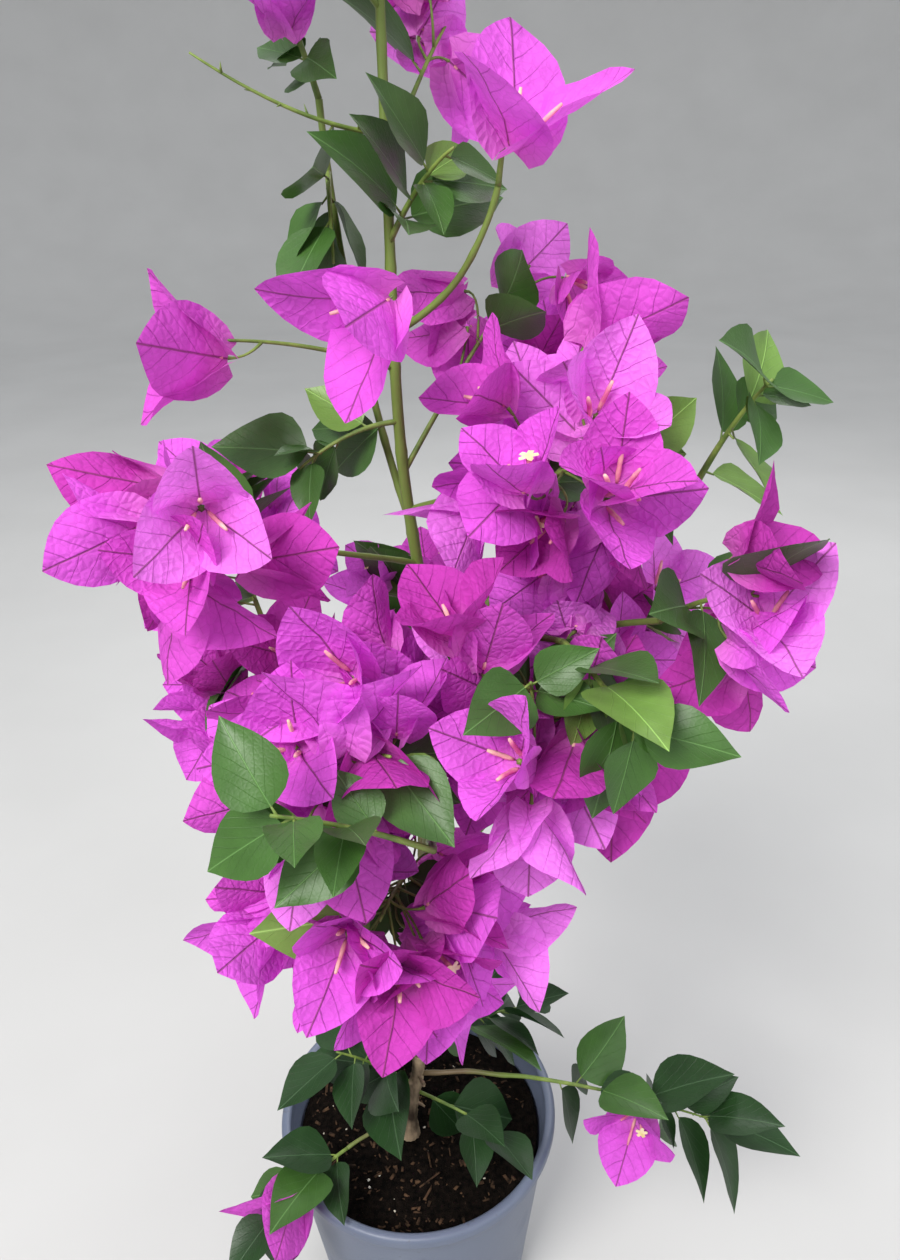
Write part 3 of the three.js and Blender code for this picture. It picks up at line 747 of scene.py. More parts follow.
    def try_bloom(self, mass: Mass, draws: Draws, fine: bool) -> bool:
        """Adds one bloom where there is room.

        Args:
            mass: The mass to grow.
            draws: The source of numbers.
            fine: Whether it is one of the finer ones that the solids leave out.

        Returns:
            True if it was added.
        """
        outward = unit(draws.direction() + self.bloom_pull * mass.heading)
        first = not mass.blooms
        inner = first and mass.plan.blooms <= self.small_mass
        number = draws.next()
        depth = self.bloom_depth * number if inner else float(np.cbrt(number))
        tilt = draws.direction()
        turn = FULL_TURN * draws.next()
        least, spread = self.bloom_scale
        shrink = self.more_bloom_scale if fine else 1.0
        size = (least + spread * draws.next()) * mass.plan.larger * shrink
        heart = mass.middle + outward * mass.reach * depth
        free = self.bloom_lean[0] * outward + self.bloom_lean[1] * tilt
        axis = unit(vec(*mass.plan.facing) if first and mass.plan.facing else free)
        spacing = self.more_spacing if fine else self.bloom_spacing
        slack = self.more_slack if fine else 0.0
        if any(float((gap := other.heart - heart) @ gap) < spacing**2 for other in mass.blooms):
            return False
        if not self.in_space(mass, heart[None, :], slack):
            return False
        root = mass.curve.at(self.twig_root(mass, heart))
        side = perpendicular(axis)
        bracts = []
        length, width, cup = self.bract_size
        apart, below = self.bract_seat
        for k in range(3):
            flare = turned(side, axis, turn + k * 2.0 * math.pi / 3.0)
            heading = self.bract_flare * flare + axis
            face = axis - self.bract_flare * flare
            seat = heart + apart * flare - below * axis
            bracts.append(Blade.facing(seat, heading, face, (length * size, width, cup)))
        twig = np.array([root + (heart - root) * share for share in self.twig_tests])
        points = np.concatenate([twig] + [bract.samples() for bract in bracts])
        if not self.fits(mass, points, slack):
            return False
        if not self.uncrowded(mass, points, self.more_crowding if fine else self.crowding):
            return False
        mass.filled.append(points)
        mass.blooms.append(Bloom(root, heart, axis, bracts))
        return True

    def try_leaf(self, mass: Mass, draws: Draws, number: int, fine: bool) -> bool:
        """Adds one leaf where there is room.

        Args:
            mass: The mass to grow.
            draws: The source of numbers.
            number: The count of tries, which turns each leaf on from the last.
            fine: Whether it is one of the finer ones that the solids leave out.

        Returns:
            True if it was added.
        """
        first, run = self.leaf_places
        along = first + run * draws.next()
        turn = number * math.pi * GOLDEN_SHARE + self.leaf_stray * draws.next()
        least, spread = self.leaf_scale
        shrink = self.more_leaf_scale if fine else 1.0
        size = (least + spread * draws.next()) * mass.plan.larger * shrink
        rise = self.leaf_rise - draws.next()
        root = mass.curve.at(along)
        tangent = mass.curve.tangent(along)
        side = turned(perpendicular(tangent), tangent, turn)
        heading = unit(side + self.leaf_forward * tangent + rise * UP)
        light = unit(unit(root * vec(1, 1, 0)) + self.leaf_faces_up * UP)
        up = light if abs(float(heading @ light)) < self.leaf_too_steep else UP
        length, width, cup = self.leaf_size
        blade = Blade.facing(root, heading, up, (length * size, width, cup))
        blade.root = root - self.leaf_sunk * blade.along
        slack = self.more_slack if fine else 0.0
        points = blade.samples()
        if not self.fits(mass, points, slack):
            return False
        if not self.uncrowded(mass, points, self.more_crowding if fine else self.crowding):
            return False
        mass.filled.append(points)
        mass.leaves.append(blade)
        return True

    def grow(self) -> None:
        """Grows every mass: first what the solids have, then what is finer."""
        for number, mass in enumerate(self.masses.values()):
            draws = Draws(number + 1)
            plan = mass.plan
            self.fill(mass, draws, plan.blooms, plan.leaves, self.tries_each, False)
            solid = self.count(mass)
            draws = Draws(number + 1 + self.more_seed)
            self.fill(mass, draws, plan.more_blooms, plan.more_leaves, self.more_tries, True)
            LOG.info("%s: %s blooms and leaves, %s with the finer", mass.name, solid, self.count(mass))

    @staticmethod
    def count(mass: Mass) -> tuple:
        """How many blooms and leaves a mass holds."""
        return len(mass.blooms), len(mass.leaves)

    def fill(self, mass: Mass, draws: Draws, blooms: int, leaves: int, each: int, fine: bool) -> None:
        """Adds blooms, then leaves, until the plan is met or the tries run out.

        Args:
            mass: The mass to grow.
            draws: The source of numbers.
            blooms: How many blooms to add.
            leaves: How many leaves to add.
            each: How many tries each of them has.
            fine: Whether they are finer ones.
        """
        made = tries = 0
        while made < blooms and tries < blooms * each:
            made += self.try_bloom(mass, draws, fine)
            tries += 1
        made = tries = 0
        while made < leaves and tries < leaves * each:
            made += self.try_leaf(mass, draws, tries, fine)
            tries += 1


# Meshes from arrays


@dataclass
class Heap:
    """Vertices and faces that become one joined mesh."""

    points: list = field(default_factory=list)
    faces: list = field(default_factory=list)
    uvs: list = field(default_factory=list)
    size: int = 0

    def add(self, points: np.ndarray, faces: list, uvs: np.ndarray | None = None) -> None:
        """Adds a shape.

        Args:
            points: Its points in millimetres.
            faces: Its faces, as tuples of point numbers.
            uvs: A place on the pattern for each point.
        """
        self.points.append(points)
        self.uvs.append(np.zeros((len(points), 2)) if uvs is None else uvs)
        base = self.size
        self.faces.extend(tuple(base + i for i in face) for face in faces)
        self.size += len(points)

    def piece(self, name: str, material: bpy.types.Material) -> bpy.types.Object:
        """The joined mesh as an object.

        Args:
            name: The piece's name.
            material: Its finish.

        Returns:
            The object, at the origin.
        """
        mesh = bpy.data.meshes.new(name)
        mesh.from_pydata((np.concatenate(self.points) * MM).tolist(), [], self.faces)
        corners = np.empty(len(mesh.loops), dtype=np.int32)
        mesh.loops.foreach_get("vertex_index", corners)
        layer = mesh.uv_layers.new(name="UVMap")
        layer.data.foreach_set("uv", np.concatenate(self.uvs)[corners].astype(np.float32).ravel())
        mesh.polygons.foreach_set("use_smooth", np.ones(len(mesh.polygons), dtype=bool))
        mesh.update()
        mesh.materials.append(material)
        piece = bpy.data.objects.new(name, mesh)
        bpy.context.scene.collection.objects.link(piece)
        return piece


def grid_faces(rows: int, columns: int) -> list:
    """The four-cornered faces of a grid of points, row by row.

    Args:
        rows: The number of rows of points.
        columns: The number of points in a row.

    Returns:
        The faces, as tuples of point numbers.
    """
    faces = []
    for i in range(rows - 1):
        for j in range(columns - 1):
            a = i * columns + j
            faces.append((a, a + 1, a + columns + 1, a + columns))
    return faces


def tube(points: np.ndarray, radii: np.ndarray, sides: int) -> tuple:
    """A closed tube along points.

    Args:
        points: Its middle line.
        radii: Its radius at each point.
        sides: The number of its sides.

    Returns:
        Its points, faces and places on the pattern.
    """
    last = len(points) - 1
    normal = perpendicular(unit(points[1] - points[0]))
    rings, uvs = [], []
    for i, middle in enumerate(points):
        along = unit(points[min(i + 1, last)] - points[max(i - 1, 0)])
        normal = unit(normal - along * np.dot(normal, along))
        side = np.cross(along, normal)
        for k in range(sides):
            turn = FULL_TURN * k / sides
            rings.append(middle + radii[i] * (math.cos(turn) * normal + math.sin(turn) * side))
            uvs.append((k / sides, i / last))
    faces = []
    for i in range(last):
        for k in range(sides):
            a, b = i * sides + k, i * sides + (k + 1) % sides
            faces.append((a, b, b + sides, a + sides))
    faces.append(tuple(reversed(range(sides))))
    faces.append(tuple(last * sides + k for k in range(sides)))
    return np.array(rings), faces, np.array(uvs)


# Finishes


def linear(red: float, green: float, blue: float) -> tuple:
    """A colour as the shaders need it, by the standard curve of screens.

    Args:
        red: Its red as the eye sees it, from 0 to 255.
        green: Its green.
        blue: Its blue.

    Returns:
        The colour's four linear numbers.
    """
    values = []
    for value in (red, green, blue):
        share = value / 255.0
        values.append(share / 12.92 if share <= 0.04045 else ((share + 0.055) / 1.055) ** 2.4)
    return (*values, 1.0)


def scaled(colour: tuple, factor: float, lift: float = 0.0) -> tuple:
    """A colour made darker or lighter by a factor and a lift."""
    return tuple(min(1.0, c * factor + lift) for c in colour[:3]) + (1.0,)


class Recipe:
    """A material's node tree, with short ways to add and join its nodes."""

    def __init__(self, name: str) -> None:
        """Starts an empty tree with an output.

        Args:
            name: The material's name.
        """
        self.material = bpy.data.materials.new(name)
        self.material.use_nodes = True
        self.tree = self.material.node_tree
        self.tree.nodes.clear()
        self.output = self.tree.nodes.new("ShaderNodeOutputMaterial")

    def node(self, kind: str, inputs: dict | None = None, **settings: object) -> bpy.types.Node:
        """Adds a node.

        Args:
            kind: Its type without the prefix.
            inputs: Values or sockets for its inputs, by name or number.
            settings: Its own settings.

        Returns:
            The node.
        """
        made = self.tree.nodes.new("ShaderNode" + kind)
        for name, value in settings.items():
            setattr(made, name, value)
        for name, value in (inputs or {}).items():
            if isinstance(value, bpy.types.NodeSocket):
                self.tree.links.new(value, made.inputs[name])
            else:
                made.inputs[name].default_value = value
        return made

    def math(self, operation: str, *values: object) -> bpy.types.NodeSocket:
        """The outcome of a sum on numbers or sockets."""
        inputs = dict(enumerate(values))
        return self.node("Math", inputs, operation=operation).outputs[0]

    def mix(self, share: object, first: object, second: object) -> bpy.types.NodeSocket:
        """A colour between two.

        Args:
            share: How much of the second.
            first: The first colour or socket.
            second: The second colour or socket.

        Returns:
            The mixed colour's socket.
        """
        inputs = {"Factor": share, 6: first, 7: second}
        return self.node("Mix", inputs, data_type="RGBA").outputs[2]

    def noise(self, scale: float, detail: float = 4.0, stretch: tuple = (1, 1, 1)) -> bpy.types.NodeSocket:
        """Cloudy noise on the piece's own coordinates.

        Args:
            scale: Its scale per metre.
            detail: How many finer layers it has.
            stretch: Its scale along X, Y and Z.

        Returns:
            The socket of its strength.
        """
        place = self.node("TexCoord").outputs["Object"]
        spread = self.node("Mapping", {"Vector": place, "Scale": stretch}).outputs[0]
        made = self.node("TexNoise", {"Vector": spread, "Scale": scale, "Detail": detail})
        return made.outputs["Fac"]

    def ramp(self, share: object, stops: list) -> bpy.types.NodeSocket:
        """A colour ramp.

        Args:
            share: The socket that it reads.
            stops: Pairs of place and colour.

        Returns:
            The colour's socket.
        """
        made = self.node("ValToRGB", {"Fac": share})
        elements = made.color_ramp.elements
        while len(elements) < len(stops):
            elements.new(0.5)
        for element, (place, colour) in zip(elements, stops):
            element.position = place
            element.color = colour
        return made.outputs["Color"]

    def bump(self, height: object, distance: float, strength: float = 1.0) -> bpy.types.NodeSocket:
        """Relief in the shading, with its depth in metres."""
        inputs = {"Height": height, "Distance": distance, "Strength": strength}
        return self.node("Bump", inputs).outputs[0]

    def finish(self, shader: bpy.types.Node) -> bpy.types.Material:
        """Joins the shader to the output and gives the material."""
        self.tree.links.new(shader.outputs[0], self.output.inputs["Surface"])
        return self.material


@dataclass(frozen=True)
class VeinedFinish:
    """A thin blade with a midrib, side veins and a net between them."""

    name: str
    colour: tuple
    vein: tuple
    vein_share: float
    net_share: float
    midrib_share: float
    side_veins: float
    roughness: float
    translucence: float
    relief: float
    rib: tuple
    base: tuple | None = None
    base_share: float = 0.55
    base_reach: float = 0.3
    mottle: float = 0.12
    mottle_stops: tuple = (0.34, 0.66)
    mottle_scale: float = 60.0
    specular: float = 0.35
    coat: float = 0.0
    coat_roughness: float = 0.22
    vein_slope: float = 1.1
    vein_curve: float = 1.0
    vein_wander: float = 0.1
    wander_scale: float = 70.0
    vein_fade: float = 1.5
    midrib_width: float = 0.01
    vein_width: float = 0.026
    net_width: float = 0.036
    cells: tuple = (11.0, 9.0, 1.0)
    puff: float = 1.0
    puff_top: float = 0.3
    puff_share: float = 0.6
    crinkle: float = 1.1
    crinkle_scale: float = 110.0
    midrib_depth: float = 1.5
    vein_depth: float = 0.3

    def material(self) -> bpy.types.Material:
        """Builds the material.

        Returns:
            The material.
        """
        recipe = Recipe(self.name)
        place = recipe.node("TexCoord").outputs["UV"]
        parts = recipe.node("SeparateXYZ", {0: place})
        along, across = parts.outputs[0], parts.outputs[1]
        signed = recipe.math("SUBTRACT", across, 0.5)
        off = recipe.math("ABSOLUTE", signed)
        sides = self.side_lines(recipe, along, signed, off)
        midrib = self.ridge(recipe, off, self.midrib_width)
        cells = recipe.node("Mapping", {"Vector": place, "Scale": self.cells}).outputs[0]
        flat = {"feature": "DISTANCE_TO_EDGE", "voronoi_dimensions": "2D"}
        net = recipe.node("TexVoronoi", {"Vector": cells, "Scale": 1.0}, **flat).outputs[0]
        net_lines = self.ridge(recipe, net, self.net_width)
        ground = self.ground(recipe, along)
        netted = recipe.mix(recipe.math("MULTIPLY", net_lines, self.net_share), ground, self.vein)
        veined = recipe.mix(recipe.math("MULTIPLY", sides, self.vein_share), netted, self.vein)
        ribbed = recipe.mix(recipe.math("MULTIPLY", midrib, self.midrib_share), veined, self.rib)
        domes = recipe.math("MINIMUM", net, self.puff_top)
        puffed = recipe.math("MULTIPLY", domes, self.puff_share * self.puff)
        deepest = recipe.math("MAXIMUM", sides, recipe.math("MULTIPLY", midrib, self.midrib_depth))
        sunk = recipe.math("MULTIPLY", deepest, self.vein_depth)
        noise = recipe.noise(self.crinkle_scale, 3.0)
        crinkled = recipe.math("MULTIPLY_ADD", noise, self.crinkle * self.puff, puffed)
        relief = recipe.bump(recipe.math("SUBTRACT", crinkled, sunk), self.relief)
        inputs = {"Base Color": ribbed, "Roughness": self.roughness, "Normal": relief}
        skin = recipe.node("BsdfPrincipled", inputs)
        skin.inputs["Specular IOR Level"].default_value = self.specular
        skin.inputs["Coat Weight"].default_value = self.coat
        skin.inputs["Coat Roughness"].default_value = self.coat_roughness
        glow = recipe.node("BsdfTranslucent", {"Color": ribbed, "Normal": relief})
        both = {0: self.translucence, 1: skin.outputs[0], 2: glow.outputs[0]}
        return recipe.finish(recipe.node("MixShader", both))

    def side_lines(self, recipe: Recipe, along: object, signed: object, off: object) -> object:
        """Side veins that leave the midrib in turn and curve towards the tip.

        Args:
            recipe: The material's tree.
            along: The socket of the share of the length.
            signed: The socket of the place across, 0 on the midrib.
            off: The socket of its size.

        Returns:
            The socket of their strength.
        """
        swept = recipe.math("MULTIPLY", recipe.math("POWER", off, self.vein_curve), self.vein_slope)
        noise = recipe.noise(self.wander_scale, 2.0)
        wander = recipe.math("MULTIPLY_ADD", noise, self.vein_wander, swept)
        run = recipe.math("MULTIPLY", recipe.math("SUBTRACT", along, wander), self.side_veins)
        turn = recipe.math("MULTIPLY", recipe.math("GREATER_THAN", signed, 0.0), 0.5)
        near = recipe.math("PINGPONG", recipe.math("ADD", run, turn), 0.5)
        fade = recipe.math("SUBTRACT", 1.0, recipe.math("MULTIPLY", off, self.vein_fade))
        return recipe.math("MULTIPLY", self.ridge(recipe, near, self.vein_width), fade)

    @staticmethod
    def ridge(recipe: Recipe, distance: object, width: float) -> object:
        """A soft line where a distance is near nothing.

        Args:
            recipe: The material's tree.
            distance: The socket of the distance.
            width: How wide the line is.

        Returns:
            The socket of its strength.
        """
        share = recipe.math("MULTIPLY", distance, 1.0 / width)
        square = recipe.math("MULTIPLY", share, share)
        return recipe.math("EXPONENT", recipe.math("MULTIPLY", square, -1.0))

    def ground(self, recipe: Recipe, along: object) -> object:
        """The mottled colour between the veins, paler towards the root.

        Args:
            recipe: The material's tree.
            along: The socket of the share of the length.

        Returns:
            The colour's socket.
        """
        shades = scaled(self.colour, 1.0 - self.mottle), scaled(self.colour, 1.0 + self.mottle)
        clouds = recipe.ramp(recipe.noise(self.mottle_scale, 3.0), list(zip(self.mottle_stops, shades)))
        if self.base is None:
            return clouds
        reach = {
            "Value": along,
            "From Min": 0.0,
            "From Max": self.base_reach,
            "To Min": self.base_share,
            "To Max": 0.0,
        }
        return recipe.mix(recipe.node("MapRange", reach).outputs[0], clouds, self.base)


@dataclass(frozen=True)
class PlainFinish:
    """A mottled surface of two colours with fine relief."""

    name: str
    dark: tuple
    light: tuple
    roughness: float
    scale: float
    relief: float
    detail: float = 5.0
    specular: float = 0.5
    stops: tuple = (0.35, 0.65)
    finer: float = 4.0

    def material(self) -> bpy.types.Material:
        """Builds the material.

        Returns:
            The material.
        """
        recipe = Recipe(self.name)
        clouds = recipe.noise(self.scale, self.detail)
        colour = recipe.ramp(clouds, list(zip(self.stops, (self.dark, self.light))))
        fine = recipe.noise(self.scale * self.finer, 3.0)
        relief = recipe.bump(fine, self.relief)
        inputs = {"Base Color": colour, "Normal": relief, "Roughness": self.roughness}
        skin = recipe.node("BsdfPrincipled", inputs)
        skin.inputs["Specular IOR Level"].default_value = self.specular
        return recipe.finish(skin)


@dataclass(frozen=True)
class StemFinish:
    """Young green wood that turns brown and corky low down, near the trunk."""

    name: str
    green: tuple = linear(118, 142, 62)
    brown: tuple = linear(112, 94, 66)
    green_dark: float = 0.7
    brown_dark: float = 0.6
    green_from: float = 0.66
    brown_below: float = 0.34
    old_wood: float = 0.03
    green_outward: float = 9.0
    ragged: float = 0.16
    ragged_scale: float = 30.0
    streak_scale: float = 160.0
    grain_scale: float = 420.0
    roughness: float = 0.55
    relief: float = 0.0004

    def material(self) -> bpy.types.Material:
        """Builds the material.

        Returns:
            The material.
        """
        recipe = Recipe(self.name)
        place = recipe.node("TexCoord").outputs["Object"]
        height = recipe.node("SeparateXYZ", {0: place}).outputs[2]
        flat = recipe.node("VectorMath", {0: place, 1: (1.0, 1.0, 0.0)}, operation="MULTIPLY").outputs[0]
        out = recipe.node("VectorMath", {0: flat}, operation="LENGTH").outputs["Value"]
        past = recipe.math("MAXIMUM", recipe.math("SUBTRACT", out, self.old_wood), 0.0)
        clouds = recipe.noise(self.ragged_scale)
        ragged = recipe.math("MULTIPLY_ADD", clouds, self.ragged, -self.ragged / 2)
        up = recipe.math("ADD", recipe.math("MULTIPLY_ADD", past, self.green_outward, height), ragged)
        reach = {"Value": up, "From Min": self.brown_below, "From Max": self.green_from}
        share = recipe.node("MapRange", reach).outputs[0]
        streaks = recipe.noise(self.streak_scale, stretch=(1, 1, 0.15))
        green = recipe.mix(streaks, scaled(self.green, self.green_dark), self.green)
        brown = recipe.mix(streaks, scaled(self.brown, self.brown_dark), self.brown)
        relief = recipe.bump(recipe.noise(self.grain_scale, 3.0, (1, 1, 0.2)), self.relief)
        colour = recipe.mix(share, brown, green)
        inputs = {"Base Color": colour, "Normal": relief, "Roughness": self.roughness}
        return recipe.finish(recipe.node("BsdfPrincipled", inputs))


@dataclass(frozen=True)
class BarkFinish:
    """Rough grey-brown bark with long furrows."""

    name: str
    dark: tuple = linear(78, 63, 49)
    light: tuple = linear(174, 152, 124)
    stops: tuple = (0.4, 0.68)
    patch_scale: float = 60.0
    patch_share: float = 0.5
    furrow_scale: float = 190.0
    furrow_share: float = 0.6
    relief: float = 0.0016
    roughness: float = 0.9

    def material(self) -> bpy.types.Material:
        """Builds the material.

        Returns:
            The material.
        """
        recipe = Recipe(self.name)
        furrows = recipe.noise(self.furrow_scale, 6.0, (1, 1, 0.28))
        patches = recipe.noise(self.patch_scale, 3.0)
        lines = recipe.math("MULTIPLY", furrows, self.furrow_share)
        mixed = recipe.math("MULTIPLY_ADD", patches, self.patch_share, lines)
        colour = recipe.ramp(mixed, list(zip(self.stops, (self.dark, self.light))))
        relief = recipe.bump(furrows, self.relief)
        inputs = {"Base Color": colour, "Normal": relief, "Roughness": self.roughness}
        return recipe.finish(recipe.node("BsdfPrincipled", inputs))


@dataclass(frozen=True)
class PotFinish:
    """Satin grey-blue moulded plastic, with faint scuffs and splashes of dried mud."""

    name: str
    colour: tuple = linear(98, 107, 127)
    scuff: tuple = linear(122, 129, 144)
    mud: tuple = linear(76, 68, 60)
    scuff_scale: float = 26.0
    scuff_stops: tuple = (0.5, 0.78)
    scuff_share: float = 0.55
    mud_scale: float = 150.0
    mud_stops: tuple = (0.66, 0.74)
    mud_share: float = 0.35
    grain_scale: float = 700.0
    roughness: float = 0.42
    scuff_roughness: float = 0.2
    relief: float = 0.00012

    def material(self) -> bpy.types.Material:
        """Builds the material.

        Returns:
            The material.
        """
        recipe = Recipe(self.name)
        ends = (0, 0, 0, 1), (1, 1, 1, 1)
        scuffs = recipe.ramp(recipe.noise(self.scuff_scale, 8.0), list(zip(self.scuff_stops, ends)))
        specks = recipe.ramp(recipe.noise(self.mud_scale, 5.0), list(zip(self.mud_stops, ends)))
        scuffed = recipe.mix(recipe.math("MULTIPLY", scuffs, self.scuff_share), self.colour, self.scuff)
        colour = recipe.mix(recipe.math("MULTIPLY", specks, self.mud_share), scuffed, self.mud)
        rough = recipe.math("MULTIPLY_ADD", scuffs, self.scuff_roughness, self.roughness)
        relief = recipe.bump(recipe.noise(self.grain_scale, 2.0), self.relief)
        inputs = {"Base Color": colour, "Roughness": rough, "Normal": relief}
        return recipe.finish(recipe.node("BsdfPrincipled", inputs))


BRACT_SHADES = (
    linear(236, 108, 235),
    linear(222, 92, 213),
    linear(244, 132, 243),
    linear(204, 70, 186),
    linear(230, 100, 228),
)

LEAF_SHADES = {
    # The dark green of the low leaves, under the crown near the pot, is partly the older leaves' own
    # deeper green and partly painted shade.
    Tint.DARK: linear(35, 66, 30),
    Tint.MIDDLE: linear(65, 103, 44),
    Tint.YOUNG: linear(114, 151, 70),
}


class Finishes:
    """Every material of the object, made once."""

    def __init__(self) -> None:
        """Builds them."""
        self.bracts = [
            VeinedFinish(
                f"bract_{i}",
                shade,
                linear(150, 44, 128),
                vein_share=0.26,
                net_share=0.14,
                midrib_share=0.7,
                side_veins=5.0,
                roughness=0.7,
                translucence=0.34,
                relief=0.0016,
                rib=linear(136, 74, 92),
                base=linear(242, 150, 226),
                specular=0.08,
                vein_slope=0.95,
                vein_curve=1.15,
            ).material()
            for i, shade in enumerate(BRACT_SHADES)
        ]
        self.leaves = {
            tint: VeinedFinish(
                f"leaf_{tint.value}",
                shade,
                scaled(shade, 1.8, 0.02),
                vein_share=0.2,
                net_share=0.04,
                midrib_share=0.7,
                side_veins=6.0,
                roughness=0.44,
                translucence=0.14,
                relief=0.0006,
                rib=scaled(shade, 2.4, 0.05),
                coat=0.14,
                cells=(20.0, 14.0, 1.0),
                puff=0.35,
            ).material()
            for tint, shade in LEAF_SHADES.items()
        }
        self.stem = StemFinish("green_wood").material()
        self.twig = PlainFinish(
            "twig_skin", linear(86, 112, 46), linear(132, 154, 70), 0.55, 90.0, 0.0003
        ).material()
        self.tube = PlainFinish(
            "flower_tube", linear(216, 118, 152), linear(244, 204, 178), 0.6, 120.0, 0.0002
        ).material()
        self.star = PlainFinish(
            "flower_star", linear(226, 208, 140), linear(244, 236, 196), 0.6, 200.0, 0.0002
        ).material()
        self.bark = BarkFinish("bark").material()
        self.pot = PotFinish("pot_plastic").material()
        # The compost's near-black browns are partly its own dark brown and partly painted shade, as dark
        # as the shadow that lies on it inside the pot.
        self.compost = PlainFinish(
            "compost", linear(7, 6, 5), linear(27, 21, 17), 0.95, 240.0, 0.003, specular=0.06
        ).material()
        self.chips = PlainFinish(
            "bark_chips", linear(34, 25, 19), linear(88, 66, 48), 0.9, 160.0, 0.0006, specular=0.15
        ).material()
        self.specks = PlainFinish(
            "pale_specks", linear(186, 176, 156), linear(226, 220, 206), 0.85, 300.0, 0.0004
        ).material()


# Pieces


def deselect() -> None:
    """Leaves edit mode and deselects everything."""
    if bpy.context.object and bpy.context.object.mode != "OBJECT":
        bpy.ops.object.mode_set(mode="OBJECT")
    bpy.ops.object.select_all(action="DESELECT")


def select_only(*pieces: bpy.types.Object) -> None:
    """Selects pieces and nothing else, with the first as the active one.

    Args:
        pieces: The pieces.
    """
    deselect()
    for piece in pieces:
        piece.select_set(True)
    bpy.context.view_layer.objects.active = pieces[0]


def settle(piece: bpy.types.Object) -> None:
    """Puts a piece's place, turn and scale into its mesh."""
    select_only(piece)
    bpy.ops.object.transform_apply(location=True, rotation=True, scale=True)


def apply_modifiers(piece: bpy.types.Object) -> None:
    """Applies every modifier of a piece, in order.

    Args:
        piece: The piece.
    """
    select_only(piece)
    for modifier in list(piece.modifiers):
        bpy.ops.object.modifier_apply(modifier=modifier.name)


def joined(pieces: list, name: str) -> bpy.types.Object:
    """Several pieces as one.

    Args:
        pieces: The pieces.
        name: The name of the one.

    Returns:
        The joined piece.
    """
    select_only(*pieces)
    bpy.ops.object.join()
    piece = bpy.context.object
    piece.name = name
    return piece


def widen(value: float) -> None:
    """Scales the chosen ring about the upright axis."""
    bpy.ops.transform.resize(value=(value, value, 1.0), center_override=(0.0, 0.0, 0.0))


def raise_edge(height: float) -> None:
    """Extrudes the chosen ring straight up."""
    bpy.ops.mesh.extrude_edges_move(TRANSFORM_OT_translate={"value": (0.0, 0.0, height)})


def add_relief(piece: bpy.types.Object, reliefs: tuple, depth: int) -> list:
    """Displaces a piece's surface by cloudy relief.

    Args:
        piece: The piece.
        reliefs: The name, size and strength of each layer of relief, in metres.
        depth: How many finer layers of noise each has.

    Returns:
        The modifiers.
    """
    made = []
    for name, size, strength in reliefs:
        texture = bpy.data.textures.new(name, "CLOUDS")
        texture.noise_scale = size
        texture.noise_depth = depth
        relief = piece.modifiers.new(name, "DISPLACE")
        relief.texture = texture
        relief.strength = strength
        relief.mid_level = 0.6
        made.append(relief)
    return made


def fit_out(piece: bpy.types.Object, nodes: list, what: str) -> None:
    """Gives a finished piece its body and hides the nodes that it replaces.

    Args:
        piece: The piece.
        nodes: The nodes that it replaces.
        what: What to call it in the log.
    """
    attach(piece, "root")
    if nodes:
        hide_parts(*nodes)
    LOG.info("%s: %d faces", what, len(piece.data.polygons))


